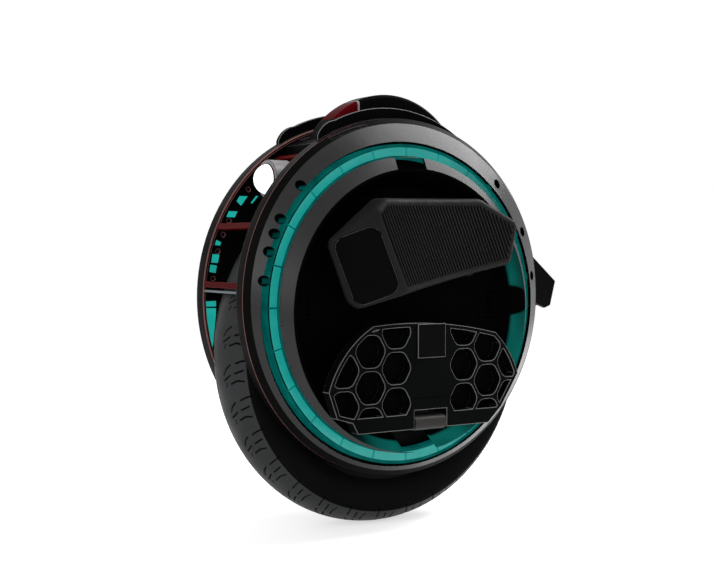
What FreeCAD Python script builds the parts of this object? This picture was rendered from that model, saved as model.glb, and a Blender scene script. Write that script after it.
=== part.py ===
"""Electric unicycle with a lit ring on each side, folding pedals, leg pads and a front cage.

The frame is on the ground under the axle: X forward, Y to the left, Z up, in millimetres.
Pieces of the left side are drawn, and those of the right side are their mirror images.
"""
import FreeCAD, Part
import math
import operator
import os
import Sketcher

Vector = FreeCAD.Vector
Rotation = FreeCAD.Rotation
Placement = FreeCAD.Placement

# Driving dimensions: millimetres, degrees and counts.
SIZES = {
    # Tyre and rim
    "tyre_radius": 216.0,
    "tread_half_width": 36.0,
    "crown_drop": 17.0,
    "tyre_wall": 7.0,
    "sidewall_radius": 62.0,
    "tyre_height": 64.0,
    "bead_half_width": 29.0,
    "bead_width": 7.0,
    "rim_flange_height": 8.0,
    "rim_flange_thick": 3.0,
    "rim_well_depth": 6.0,
    "rim_well_half_width": 16.0,
    "valve_radius": 4.0,
    "valve_length": 22.0,
    "fit": 0.05,
    # Hub motor
    "cover_inset": 16.0,
    "yoke_inset": 14.0,
    "yoke_half_width": 24.0,
    "cover_thick": 5.0,
    "boss_radius": 30.0,
    "boss_rise": 6.0,
    "magnet_thick": 4.0,
    "stator_half_width": 16.0,
    "air_gap": 1.0,
    "stator_web_half": 10.0,
    "slot_count": 36,
    "slot_width": 6.0,
    "winding_overhang": 6.0,
    "bearing_radius": 20.0,
    "bearing_width": 14.0,
    "axle_radius": 10.0,
    "axle_shoulder_radius": 14.0,
    "shoulder_half": 18.0,
    "nut_radius": 15.0,
    "nut_height": 7.0,
    "bolt_count": 8,
    "bolt_inset": 7.0,
    "bolt_radius": 2.5,
    "bolt_head_radius": 4.5,
    "bolt_head_height": 3.0,
    "bolt_depth": 12.0,
    # Layers of one side, from the tyre outwards
    "side_gap": 9.0,
    "frame_thick": 9.0,
    "frame_half_width": 42.0,
    "frame_top_gap": 30.0,
    "flange_thick": 4.0,
    "cell_gap": 4.0,
    "panel_wall": 3.0,
    "recess_depth": 26.5,
    # Shell and lit ring
    "top_room": 62.5,
    "lip_drop": 15.0,
    "led_drop": 8.1,
    "shell_step": 1.2,
    "shell_wall": 4.3,
    "rail_gap": 5.0,
    "ring_step": 6.6,
    "ring_rise": 6.7,
    "ring_band": 46.3,
    "lip_width": 3.0,
    "lip_gap": 0.2,
    "cover_wall": 2.6,
    "flange_band": 62.8,
    "floor_inset": 18.5,
    "notch_width": 42.0,
    "notch_depth": 13.0,
    "notch_forward": 6.0,
    "ring_hole_radius": 6.2,
    "ring_hole_inset": 18.3,
    "screw_radius": 2.0,
    "screw_head_radius": 3.6,
    "screw_head_height": 3.0,
    "led_inset": 27.2,
    "led_width": 9.8,
    "led_count": 24,
    "led_gap": 2.2,
    "led_floor": 9.0,
    "led_thick": 3.0,
    "channel_margin": 2.4,
    "channel_wall": 1.6,
    "channel_inner_rise": 5.0,
    "channel_outer_rise": 2.0,
    "slit_length": 24.0,
    "slit_width": 1.8,
    "slit_pitch": 5.0,
    "slit_count": 7,
    # Battery packs
    "battery_gap": 0.3,
    # Leg pad
    "pad_gap": 1.5,
    "pad_tilt": 23.6,
    "pad_crest": 37.0,
    "pad_toe": 4.0,
    "pad_heel": 15.0,
    "pad_round": 7.0,
    "pad_corner": 10.0,
    "pad_crest_round": 8.0,
    "cap_thick": 3.0,
    "cap_round": 14.0,
    "insert_gap": 0.2,
    "rib_count": 44,
    "rib_rise": 1.4,
    "rib_base": 2.4,
    "rib_margin": 9.0,
    "rib_lead": 3.5,
    # Pedal and its hanger
    "pedal_gap": 6.5,
    "pedal_thick": 14.0,
    "pedal_centre_back": 6.0,
    "pedal_rim": 5.0,
    "pedal_bar_height": 18.0,
    "cell_round": 11.0,
    "grip_thick": 2.0,
    "grip_margin": 4.0,
    "catch_size": 40.0,
    "catch_thick": 2.5,
    "catch_drop": 1.5,
    "hinge_rise": 6.5,
    "knuckle_half_length": 22.0,
    "knuckle_radius": 9.0,
    "knuckle_gap": 1.5,
    "knuckle_room": 6.5,
    "pin_radius": 4.0,
    "pin_gap": 0.3,
    "hanger_half_width": 32.0,
    "hanger_drop": 2.0,
    "hanger_gap": 1.3,
    "web_rise": 12.0,
    "web_reach": 10.0,
    # Front cage and headlight
    "bar_width": 7.0,
    "bar_gap": 0.3,
    "lower_bar_angle": 4.5,
    "middle_bar_angle": 23.5,
    "upper_bar_angle": 56.0,
    "lamp_radius": 23.0,
    "lamp_length": 25.3,
    "lens_radius": 18.0,
    "lens_dome": 18.2,
    "lens_rim": 4.0,
    "lamp_depth": 12.0,
    # Top deck, wings and handle
    "deck_clear": 14.0,
    "deck_step": 5.8,
    "nose_step": 10.0,
    "deck_floor_thick": 6.0,
    "bay_gap": 2.2,
    "wing_front_rise": 6.5,
    "wing_rear_rise": 1.0,
    "wing_corner_radius": 30.0,
    "wing_inset": 2.0,
    "wing_outset": 9.0,
    "handle_thick": 18.0,
    "handle_half_width": 18.0,
    "handle_leg": 30.0,
    "handle_round": 5.0,
    "handle_grip_thick": 4.0,
    "handle_grip_inset": 1.0,
    "switch_half_length": 12.5,
    "switch_half_width": 7.5,
    "switch_gap": 0.5,
    "switch_proud": 2.0,
    "switch_height": 6.5,
    "switch_travel": 3.5,
    "board_drop": 17.0,
    "board_bay_height": 12.0,
    "board_half_width": 36.0,
    "board_height": 8.0,
    "board_gap": 1.0,
    "button_angle": 67.5,
    "button_side": 30.0,
    "button_radius": 8.0,
    "button_gap": 0.3,
    "button_proud": 1.5,
    "button_height": 5.5,
    "button_room": 1.5,
    "port_side": 30.0,
    "port_radius": 9.0,
    "port_bore": 6.0,
    "port_depth": 12.0,
    "port_floor": 2.0,
    "cap_radius": 11.0,
    "cap_lift": 0.3,
    "cap_disc_thick": 3.0,
    "ear_half_width": 4.0,
    "ear_reach": 3.8,
    "ear_step": 0.9,
    "ear_radius": 1.5,
    # Rear mudguard and tail light
    "guard_half_width": 38.0,
    "guard_wall": 4.0,
    "guard_plate": 5.0,
    "guard_gap": 0.2,
    "tail_half_width": 24.0,
    "tail_thick": 5.0,
    # Overrun of every cut
    "overrun": 2.0,
}

# Shares of a piece's length (from its front end backwards) and height (upwards).
PAD_OUTLINE_SHARES = ((0.0, 0.595), (0.10, 0.076), (0.15, 0.0), (0.338, 0.137), (0.964, 0.389),
                      (1.0, 0.786), (0.79, 1.0), (0.229, 0.98))
BATTERY_OUTLINE_SHARES = ((0.0, 0.0), (0.79, 0.0), (1.0, 0.19), (1.0, 0.57), (0.79, 0.755),
                          (0.33, 0.967), (0.0, 1.0))
GUARD_TIP_SHARES = ((0.988, 0.182), (0.926, 0.011), (0.851, -0.009), (0.75, 0.02))
GUARD_HOLLOW_SHARES = ((0.5365, 0.429), (0.9377, 0.1785), (0.887, -0.03), (0.801, -0.03), (0.5466, 0.336))
# Shares of the lip's radius, and below them of the pad's or pedal's own length or height.
LIP_SHARES = {"pedal_length": 1.626, "pedal_height": 0.7393, "pedal_front": 0.8012, "pedal_rise": 0.1852,
              "pad_length": 1.632, "pad_height": 0.7774, "pad_front": 0.7656, "pad_lift": 0.0196,
              "grille_forward": 0.736, "grille_upper": 0.346, "grille_lower": 0.0137}
PAD_LENGTH_SHARES = {"crest_back": 0.2436, "cap_run": 0.2327, "side_run": 0.7564, "side_radius": 1.745,
                     "foot_length": 0.5455, "cap_length": 0.2036}
PAD_HEIGHT_SHARES = {"crest_rise": 0.5496, "foot_height": 0.504, "foot_middle": 0.53, "cap_height": 0.6412,
                     "cap_drop": 0.0763}
CAP_MIDDLE_SHARE = 0.472
PEDAL_LENGTH_SHARES = {"top_radius": 2.0, "side_radius": 0.45, "cell_pitch": 0.1314, "cell_rise": 0.1518,
                       "cell_width": 0.135, "cell_start": 0.1788, "pin_half": 0.2263}
PEDAL_HEIGHT_SHARES = {"cell_middle": 0.584}
PEDAL_FOOT_SHARES = ((0.905, 0.15), (0.831, 0.0), (0.143, 0.0), (0.116, 0.105), (0.04, 0.153))
PEDAL_BOW_SHARES = ((0.0, 0.4), (0.221, 0.983), (0.872, 0.876), (1.0, 0.464))
# Shares of the rotor's inner radius.
STATOR_SHARES = {"bore": 0.5128, "slot_depth": 0.2564}
# Shares of the deck's radius, of the shell's radius and of the flange's bore.
DECK_SHARES = {"front": 0.6029, "rear": 0.6124, "bay_front": 0.2967, "lamp_rise": 0.6713, "board_front": 0.47,
               "board_rear": 0.31, "nose": 0.4785, "port_back": 0.3589, "handle_radius": 0.5502,
               "handle_back": 0.0622,
               "handle_sink": 0.3622, "grip_half": 0.2632, "guard_length": 0.668, "guard_height": 0.89,
               "guard_drop": 0.0895, "guard_foot": 0.9546, "guard_spring": 0.935}
WING_SHARES = {"front": 0.5182, "shoulder": 0.4064, "shoulder_rise": 0.9744, "top_radius": 0.848,
               "rear": 0.5028}
BATTERY_SHARES = {"reach": 0.844, "drop": 0.5901, "height": 1.3947}
RING_HOLE_ANGLES = (6.7, 16.4, 22.6, 28.0, 41.6, 134.8, 156.0, 173.0)


class Dim:
    """A length worked out from the sheet: its value, and the expression that binds it."""

    def __init__(self, value, text):
        self.value = float(value)
        self.text = text

    def joined(self, other, sign, work):
        other = other if isinstance(other, Dim) else Dim(other, repr(float(other)))
        return Dim(work(self.value, other.value), f"({self.text} {sign} {other.text})")

    def __add__(self, other):
        return self.joined(other, "+", operator.add)

    def __sub__(self, other):
        return self.joined(other, "-", operator.sub)

    def __mul__(self, other):
        return self.joined(other, "*", operator.mul)

    def __truediv__(self, other):
        return self.joined(other, "/", operator.truediv)

    def __neg__(self):
        return Dim(-self.value, f"(0 - {self.text})")

    def __int__(self):
        return round(self.value)


class Sheet:
    """The document's table of sizes, read by name."""

    def __init__(self, document, sizes):
        self.names = set(sizes)
        self.table = document.addObject("Spreadsheet::Sheet", "Sizes")
        for row, (name, number) in enumerate(sizes.items(), 1):
            self.table.set(f"A{row}", str(number))
            self.table.setAlias(f"A{row}", name)
        document.recompute()

    def __getattr__(self, name):
        if name not in self.names:
            raise AttributeError(name)
        return Dim(self.table.get(name), f"Sizes.{name}")


doc = FreeCAD.newDocument("Unicycle")
S = Sheet(doc, SIZES)
NIL = Dim(0, "0")
NODES = []


def chord(radius, away):
    """Half the chord of a circle at a distance from its centre."""
    value = math.sqrt(radius.value ** 2 - away.value ** 2)
    return Dim(value, f"sqrt({radius.text} * {radius.text} - {away.text} * {away.text})")


def sag_radius(half, sag):
    """Radius of the arc whose half chord and sagitta are given."""
    return (half * half + sag * sag) / (sag * 2)


def bind(thing, **paths):
    """Ties properties of an object to expressions; double underscores stand for dots."""
    for path, dim in paths.items():
        thing.setExpression(path.replace("__", "."), dim.text)


def keep(label, thing):
    """Names a finished piece and lists it for writing."""
    thing.Label = label
    NODES.append(thing)
    return thing


def place(thing, x=NIL, y=NIL, z=NIL):
    """Ties an object's place to expressions."""
    bind(thing, Placement__Base__x=x, Placement__Base__y=y, Placement__Base__z=z)
    return thing


def origin_plane(body, role):
    return next(item for item in body.Origin.OriginFeatures if item.Role == role)


def new_sketch(body, role, offset=NIL):
    """A sketch on one of the body's own planes, moved along that plane's normal."""
    sketch = body.newObject("Sketcher::SketchObject", "Outline")
    sketch.AttachmentSupport = [(origin_plane(body, role), "")]
    sketch.MapMode = "FlatFace"
    bind(sketch, AttachmentOffset__Base__z=offset)
    return sketch


def arc_between(start, end, radius, turn):
    """The arc from start to end whose centre lies to the left (turn 1) or right (turn -1)."""
    run = end - start
    left = Vector(-run.y, run.x, 0).normalize()
    away = math.sqrt(max(radius ** 2 - (run.Length / 2) ** 2, 0))
    centre = start + run * 0.5 + left * (away * turn)
    first, last = (start, end) if turn > 0 else (end, start)
    angles = [math.atan2(point.y - centre.y, point.x - centre.x) for point in (first, last)]
    return Part.ArcOfCircle(Part.Circle(centre, Vector(0, 0, 1), radius), angles[0], angles[1])


def draw(sketch, corners, circles=()):
    """Draws a closed outline; a corner with a radius and turn starts an arc to the next corner."""
    count = len(corners)
    points = [Vector(corner[0].value, corner[1].value, 0) for corner in corners]
    ends = []
    for index, corner in enumerate(corners):
        start, end = points[index], points[(index + 1) % count]
        if len(corner) > 2:
            curve = sketch.addGeometry(arc_between(start, end, corner[2].value, corner[3]), False)
            ends.append((curve, 1, 2) if corner[3] > 0 else (curve, 2, 1))
        else:
            ends.append((sketch.addGeometry(Part.LineSegment(start, end), False), 1, 2))
    bonds = []
    for index, (curve, first, last) in enumerate(ends):
        following = ends[(index + 1) % count]
        bonds.append(Sketcher.Constraint("Coincident", curve, last, following[0], following[1]))
    sketch.addConstraint(bonds)
    for corner, (curve, first, last) in zip(corners, ends):
        for kind, dim in (("DistanceX", corner[0]), ("DistanceY", corner[1])):
            number = sketch.addConstraint(Sketcher.Constraint(kind, -1, 1, curve, first, dim.value))
            sketch.setExpression(f"Constraints[{number}]", dim.text)
        if len(corner) > 2:
            number = sketch.addConstraint(Sketcher.Constraint("Radius", curve, corner[2].value))
            sketch.setExpression(f"Constraints[{number}]", corner[2].text)
    for across, up, radius in circles:
        centre = Vector(across.value, up.value, 0)
        curve = sketch.addGeometry(Part.Circle(centre, Vector(0, 0, 1), radius.value), False)
        for kind, dim in (("DistanceX", across), ("DistanceY", up)):
            number = sketch.addConstraint(Sketcher.Constraint(kind, -1, 1, curve, 3, dim.value))
            sketch.setExpression(f"Constraints[{number}]", dim.text)
        number = sketch.addConstraint(Sketcher.Constraint("Radius", curve, radius.value))
        sketch.setExpression(f"Constraints[{number}]", radius.text)


def lathe(label, corners, height):
    """A body turned about the sideways axis at a height; corners are radius and side."""
    body = doc.addObject("PartDesign::Body", label)
    sketch = new_sketch(body, "XY_Plane")
    draw(sketch, corners)
    turned = body.newObject("PartDesign::Revolution", "Turned")
    turned.Profile = sketch
    turned.ReferenceAxis = (sketch, ["V_Axis"])
    turned.Angle = 360
    return place(body, z=height)


def slab(label, corners, low, high, circles=()):
    """A body of upright outline (forward and up) between two sideways planes."""
    body = doc.addObject("PartDesign::Body", label)
    sketch = new_sketch(body, "XZ_Plane", -high)
    draw(sketch, corners, circles)
    pad = body.newObject("PartDesign::Pad", "Thickness")
    pad.Profile = sketch
    bind(pad, Length=high - low)
    return body


def box(label, x, y, z):
    """A box between pairs of planes."""
    thing = doc.addObject("Part::Box", label)
    bind(thing, Length=x[1] - x[0], Width=y[1] - y[0], Height=z[1] - z[0])
    return place(thing, x[0], y[0], z[0])


def rod(label, axis, radius, length, x=NIL, y=NIL, z=NIL):
    """A cylinder that starts at a place and runs along an axis."""
    thing = doc.addObject("Part::Cylinder", label)
    bind(thing, Radius=radius, Height=length)
    turns = {"x": Rotation(Vector(0, 1, 0), 90), "y": Rotation(Vector(1, 0, 0), -90), "z": Rotation()}
    thing.Placement = Placement(Vector(), turns[axis])
    return place(thing, x, y, z)


def cut(label, base, *tools):
    for number, tool in enumerate(tools, 1):
        thing = doc.addObject("Part::Cut", f"{label}_cut{number}")
        thing.Base = base
        thing.Tool = tool
        base = thing
    return base


def fuse(label, *shapes):
    thing = doc.addObject("Part::MultiFuse", label)
    thing.Shapes = list(shapes)
    thing.Refine = True
    return thing


def common(label, *shapes):
    thing = doc.addObject("Part::MultiCommon", label)
    thing.Shapes = list(shapes)
    return thing


def group(label, *things):
    thing = doc.addObject("Part::Compound", label)
    thing.Links = list(things)
    return thing


def formed(label, shape):
    """A piece whose form is worked out from the sheet in code."""
    thing = doc.addObject("Part::Feature", label)
    thing.Shape = shape
    return thing


def mirrored(label, source):
    thing = doc.addObject("Part::Mirroring", label)
    thing.Source = source
    thing.Base = Vector(0, 0, 0)
    thing.Normal = Vector(0, 1, 0)
    return thing


def keep_pair(name, left):
    """Keeps a left piece and its mirror image."""
    keep(f"{name}_left", left)
    return keep(f"{name}_right", mirrored(f"{name}_mirror", left))


# Heights, radii and layers that several pieces share.
axle_z = S.tyre_radius
rim_radius = S.tyre_radius - S.tyre_height
cover_radius = rim_radius - S.cover_inset
yoke_radius = cover_radius - S.yoke_inset
bolt_circle = cover_radius - S.bolt_inset
stator_radius = yoke_radius - S.magnet_thick - S.air_gap
slot_depth = stator_radius * STATOR_SHARES["slot_depth"]
shell_radius = S.tyre_radius - S.shell_step
ring_z = axle_z + S.tyre_radius + S.top_room - shell_radius
led_z = ring_z - S.led_drop
lip_z = ring_z - S.lip_drop
ring_radius = shell_radius - S.ring_step
lip_radius = shell_radius - S.ring_band
flange_bore = shell_radius - S.flange_band
floor_radius = lip_radius - S.floor_inset
hole_circle = shell_radius - S.ring_hole_inset
led_outer = shell_radius - S.led_inset
led_inner = led_outer - S.led_width
rim_half = S.bead_half_width + S.rim_flange_thick
rail_y = S.tread_half_width + S.rail_gap
frame_y = S.tread_half_width + S.side_gap
flange_y = frame_y + S.frame_thick
ring_y = flange_y + S.flange_thick
floor_y = ring_y + S.cell_gap
face_y = floor_y + S.panel_wall
lip_y = face_y + S.recess_depth
pad_y = lip_y + S.pad_gap
pad_length = lip_radius * LIP_SHARES["pad_length"]
pad_height = lip_radius * LIP_SHARES["pad_height"]
pad_front = lip_radius * LIP_SHARES["pad_front"]
pad_low = lip_z + lip_radius * LIP_SHARES["pad_lift"]
crest_x = pad_front - pad_length * PAD_LENGTH_SHARES["crest_back"]
crest_z = pad_low + pad_height * PAD_HEIGHT_SHARES["crest_rise"]
cap_run = pad_length * PAD_LENGTH_SHARES["cap_run"]
side_run = pad_length * PAD_LENGTH_SHARES["side_run"]
side_radius = pad_length * PAD_LENGTH_SHARES["side_radius"]
pedal_y = lip_y + S.pedal_gap
pedal_length = lip_radius * LIP_SHARES["pedal_length"]
pedal_height = lip_radius * LIP_SHARES["pedal_height"]
pedal_front = lip_radius * LIP_SHARES["pedal_front"]
pedal_low = lip_z - lip_radius + lip_radius * LIP_SHARES["pedal_rise"]
pedal_x = -S.pedal_centre_back
pin_half = pedal_length * PEDAL_LENGTH_SHARES["pin_half"]
hinge_y = pedal_y + S.pedal_thick / 2
hinge_z = pedal_low + S.hinge_rise
deck_radius = shell_radius - S.deck_step
nose_radius = deck_radius - S.nose_step
deck_under = axle_z + S.deck_clear
deck_floor = axle_z + deck_under + S.deck_floor_thick
deck_front = deck_radius * DECK_SHARES["front"]
deck_rear = deck_radius * DECK_SHARES["rear"]
lamp_z = ring_z + deck_radius * DECK_SHARES["lamp_rise"]
handle_radius = deck_radius * DECK_SHARES["handle_radius"]
handle_x = -deck_radius * DECK_SHARES["handle_back"]
handle_z = ring_z + deck_radius - deck_radius * DECK_SHARES["handle_sink"]
port_back = deck_radius * DECK_SHARES["port_back"]
guard_length = deck_radius * DECK_SHARES["guard_length"]
guard_height = deck_radius * DECK_SHARES["guard_height"]
guard_low = ring_z - deck_radius * DECK_SHARES["guard_drop"]


def circle_of(label, count, circle, shape, centre_height):
    """Copies of a shape, drawn on the circle at angle zero, set round the sideways axis."""
    copies = []
    for number in range(count):
        copy = shape.copy()
        copy.translate(Vector(circle.value, 0, 0))
        copy.rotate(Vector(), Vector(0, 1, 0), 360 * number / count)
        copy.translate(Vector(0, 0, centre_height.value))
        copies.append(copy)
    return formed(label, Part.makeCompound(copies))


def side_cylinder(radius, low, high):
    """A plain cylinder along the sideways axis between two planes."""
    return Part.makeCylinder(radius.value, high.value - low.value, Vector(0, low.value, 0), Vector(0, 1, 0))


def make_tyre():
    shoulder = S.tyre_radius - S.crown_drop
    crown = sag_radius(S.tread_half_width, S.crown_drop)
    bead_radius = rim_radius + S.fit
    bead_side = S.bead_half_width - S.fit
    wall_foot = rim_radius + S.rim_flange_height
    inside = shoulder - S.tyre_wall
    inside_half = S.tread_half_width - S.tyre_wall
    inside_crown = sag_radius(inside_half, S.crown_drop - S.tyre_wall / 2)
    bead_in = S.bead_half_width - S.bead_width
    outline = [
        (shoulder, -S.tread_half_width, crown, 1), (shoulder, S.tread_half_width, S.sidewall_radius, 1),
        (wall_foot, bead_side), (bead_radius, bead_side), (bead_radius, bead_in),
        (inside, inside_half, inside_crown, -1), (inside, -inside_half), (bead_radius, -bead_in),
        (bead_radius, -bead_side), (wall_foot, -bead_side, S.sidewall_radius, 1),
    ]
    keep("tyre", lathe("Tyre", outline, axle_z))


def valve_height():
    return axle_z - rim_radius + S.rim_well_depth


def make_rim():
    side = S.yoke_half_width
    flange_top = rim_radius + S.rim_flange_height
    seat = cover_radius + S.fit
    well = rim_radius - S.rim_well_depth
    well_top = S.rim_well_half_width + S.valve_radius
    half = [
        (flange_top, S.bead_half_width), (flange_top, rim_half), (seat, rim_half), (seat, side),
        (yoke_radius, side),
    ]
    bed = [(rim_radius, -S.bead_half_width), (rim_radius, -well_top), (well, -S.rim_well_half_width),
           (well, S.rim_well_half_width), (rim_radius, well_top), (rim_radius, S.bead_half_width)]
    outline = bed + half + [(radius, -across) for radius, across in reversed(half)]
    turned = lathe("Rim", outline, axle_z)
    valve_hole = rod("ValveHole", "y", S.valve_radius + S.fit, rim_half, z=valve_height(),
                     y=S.rim_well_half_width - S.overrun)
    keep("rim", cut("Rim", turned, valve_hole, make_bolt_holes()))
    stem = rod("ValveStem", "y", S.valve_radius, S.valve_length, z=valve_height(), y=S.rim_well_half_width)
    keep("valve_stem", stem)


def cover_face():
    return S.yoke_half_width + S.cover_thick


def make_bolt_holes():
    """Both covers' bolt holes, as one cutting group."""
    hole = side_cylinder(S.bolt_radius + S.fit, cover_face() - S.bolt_depth, cover_face() + S.overrun)
    left = circle_of("BoltHoles", int(S.bolt_count), bolt_circle, hole, axle_z)
    return group("BoltHolePair", left, mirrored("BoltHolesMirror", left))


def make_motor():
    near, far, half = yoke_radius - S.magnet_thick, yoke_radius - S.fit, S.stator_half_width
    ring = [(near, -half), (far, -half), (far, half), (near, half)]
    keep("rotor_magnets", lathe("Magnets", ring, axle_z))
    bore = S.bearing_radius + S.fit
    top = cover_face() + S.boss_rise
    outline = [(bore, S.shoulder_half), (S.boss_radius, S.shoulder_half), (S.boss_radius, S.yoke_half_width),
               (cover_radius, S.yoke_half_width), (cover_radius, cover_face()),
               (S.boss_radius + S.boss_rise, cover_face()), (S.boss_radius, top), (bore, top)]
    disc = lathe("MotorCover", outline, axle_z)
    keep_pair("motor_cover", cut("MotorCover", disc, make_bolt_holes()))
    race = [(S.axle_radius + S.fit, S.shoulder_half), (S.bearing_radius, S.shoulder_half),
            (S.bearing_radius, S.shoulder_half + S.bearing_width),
            (S.axle_radius + S.fit, S.shoulder_half + S.bearing_width)]
    keep_pair("hub_bearing", lathe("HubBearing", race, axle_z))
    shank = side_cylinder(S.bolt_radius, cover_face() - S.bolt_depth + S.fit, cover_face())
    head = side_cylinder(S.bolt_head_radius, cover_face(), cover_face() + S.bolt_head_height)
    bolts = circle_of("CoverBolts", int(S.bolt_count), bolt_circle, shank.fuse(head), axle_z)
    keep("cover_bolts", group("CoverBoltPair", bolts, mirrored("CoverBoltsMirror", bolts)))


def make_stator():
    tip = stator_radius
    bore = S.axle_shoulder_radius + S.fit
    ring_bore = stator_radius * STATOR_SHARES["bore"]
    half, web = S.stator_half_width, S.stator_web_half
    outline = [(bore, -web), (ring_bore, -web), (ring_bore, -half), (tip, -half), (tip, half),
               (ring_bore, half), (ring_bore, web), (bore, web)]
    slot = Part.makeBox(slot_depth.value + S.overrun.value, half.value * 3, S.slot_width.value,
                        Vector(-slot_depth.value, -half.value * 3 / 2, -S.slot_width.value / 2))
    slots = circle_of("StatorSlots", int(S.slot_count), tip, slot, axle_z)
    keep("stator_core", cut("StatorCore", lathe("StatorRing", outline, axle_z), slots))
    coil = [(tip - slot_depth, half), (tip - S.air_gap, half), (tip - S.air_gap, half + S.winding_overhang),
            (tip - slot_depth, half + S.winding_overhang)]
    turns = lathe("Windings", coil, axle_z)
    keep("stator_windings", group("WindingPair", turns, mirrored("WindingMirror", turns)))
    end = flange_y + S.nut_height + S.overrun / 2
    shaft = [(NIL, -end), (S.axle_radius, -end), (S.axle_radius, -S.shoulder_half),
             (S.axle_shoulder_radius, -S.shoulder_half), (S.axle_shoulder_radius, S.shoulder_half),
             (S.axle_radius, S.shoulder_half), (S.axle_radius, end), (NIL, end)]
    keep("axle", lathe("Axle", shaft, axle_z))
    blank = doc.addObject("Part::Prism", "NutBlank")
    blank.Polygon = 6
    bind(blank, Circumradius=S.nut_radius, Height=S.nut_height)
    blank.Placement = Placement(Vector(), Rotation(Vector(1, 0, 0), -90))
    place(blank, y=flange_y, z=axle_z)
    thread = rod("NutThread", "y", S.axle_radius + S.fit, end, z=axle_z)
    nut = cut("AxleNut", blank, thread)
    keep("axle_nuts", group("AxleNutPair", nut, mirrored("AxleNutMirror", nut)))


def make_frame():
    top = ring_z + shell_radius - S.frame_top_gap
    half = S.frame_half_width
    outline = [(-half, axle_z, half, 1), (NIL, axle_z - half, half, 1), (half, axle_z), (half, top),
               (-half, top)]
    hole = (NIL, axle_z, S.axle_radius + S.fit)
    keep_pair("side_frame", slab("SideFrame", outline, frame_y, flange_y, [hole]))
    front = half + S.battery_gap
    length = flange_bore * BATTERY_SHARES["reach"] - front
    low = ring_z - flange_bore * BATTERY_SHARES["drop"]
    height = flange_bore * BATTERY_SHARES["height"]
    outline = [(front + length * along, low + height * up) for along, up in BATTERY_OUTLINE_SHARES]
    high = floor_y - S.battery_gap
    fore = slab("BatteryFore", outline, frame_y, high)
    aft = slab("BatteryAft", [(-along, up) for along, up in reversed(outline)], frame_y, high)
    keep_pair("battery", group("BatteryPair", fore, aft))


def ring_places(low, high, radius):
    """Cylinders at the ring's screw places."""
    copies = []
    for angle in RING_HOLE_ANGLES:
        turn = math.radians(angle)
        copy = side_cylinder(radius, low, high)
        reach = hole_circle.value
        copy.translate(Vector(reach * math.cos(turn), 0, ring_z.value + reach * math.sin(turn)))
        copies.append(copy)
    return copies


def make_shell():
    inner = shell_radius - S.shell_wall
    outline = [(flange_bore, flange_y), (inner, flange_y), (inner, rail_y), (shell_radius, rail_y),
               (shell_radius, ring_y), (flange_bore, ring_y)]
    holes = formed("ScrewHoles", Part.makeCompound(
        ring_places(flange_y - S.overrun, ring_y + S.overrun, S.screw_radius + S.fit)))
    keep_pair("shell", cut("Shell", lathe("ShellRing", outline, ring_z), holes))
    shanks = ring_places(flange_y, ring_y, S.screw_radius)
    heads = ring_places(ring_y, ring_y + S.screw_head_height, S.screw_head_radius)
    screws = formed("RingScrews", Part.makeCompound([shank.fuse(head) for shank, head in zip(shanks, heads)]))
    keep("ring_screws", group("RingScrewPair", screws, mirrored("RingScrewMirror", screws)))


def ring_section(label, radius, side, height):
    """A circle across the sideways axis."""
    thing = doc.addObject("Part::Circle", label)
    bind(thing, Radius=radius)
    thing.Placement = Placement(Vector(), Rotation(Vector(1, 0, 0), -90))
    return place(thing, y=side, z=height)


def ring_loft(label, sections):
    thing = doc.addObject("Part::Loft", label)
    thing.Sections = [ring_section(f"{label}{number}", *section) for number, section in enumerate(sections)]
    thing.Solid = True
    thing.Ruled = True
    return thing


def make_ring_cover():
    wall = S.cover_wall
    outside = ring_loft("RingOutside", [(shell_radius, ring_y, ring_z),
                                        (ring_radius, ring_y + S.ring_rise, ring_z),
                                        (lip_radius, lip_y, lip_z)])
    inside = ring_loft("RingInside", [(shell_radius - wall, ring_y, ring_z),
                                      (ring_radius - wall, ring_y + S.ring_rise - wall / 2, ring_z),
                                      (lip_radius - wall, lip_y - wall, lip_z)])
    mouth = rod("RingMouth", "y", lip_radius, lip_y + S.overrun, z=lip_z)
    lip_top = lip_z + lip_radius
    middle, half = S.notch_forward, S.notch_width / 2
    notch = box("LipNotch", (middle - half, middle + half), (ring_y, lip_y + S.overrun),
                (lip_top - S.notch_depth, lip_top + S.notch_depth))
    holes = formed("RingHoles", Part.makeCompound(ring_places(ring_y, lip_y, S.ring_hole_radius)))
    keep_pair("ring_cover", cut("RingCover", outside, inside, mouth, notch, holes))


def make_led():
    floor = ring_y + S.led_floor
    inner = led_inner - S.channel_margin
    outer = led_outer + S.channel_margin
    low, high = inner - S.channel_wall, outer + S.channel_wall
    outline = [(low, ring_y), (high, ring_y), (high, floor + S.channel_outer_rise),
               (outer, floor + S.channel_outer_rise), (outer, floor), (inner, floor),
               (inner, floor + S.channel_inner_rise), (low, floor + S.channel_inner_rise)]
    keep_pair("led_channel", lathe("LedChannel", outline, led_z))
    band = side_cylinder(led_outer, floor, floor + S.led_thick).cut(
        side_cylinder(led_inner, floor - S.overrun, floor + S.led_thick + S.overrun))
    band.translate(Vector(0, 0, led_z.value))
    gap = Part.makeBox(led_outer.value, lip_y.value, S.led_gap.value,
                       Vector(0, 0, -S.led_gap.value / 2))
    gaps = circle_of("LedGaps", int(S.led_count), led_inner - S.overrun, gap, led_z)
    keep_pair("led_strip", formed("LedStrip", band.cut(gaps.Shape)))


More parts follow.
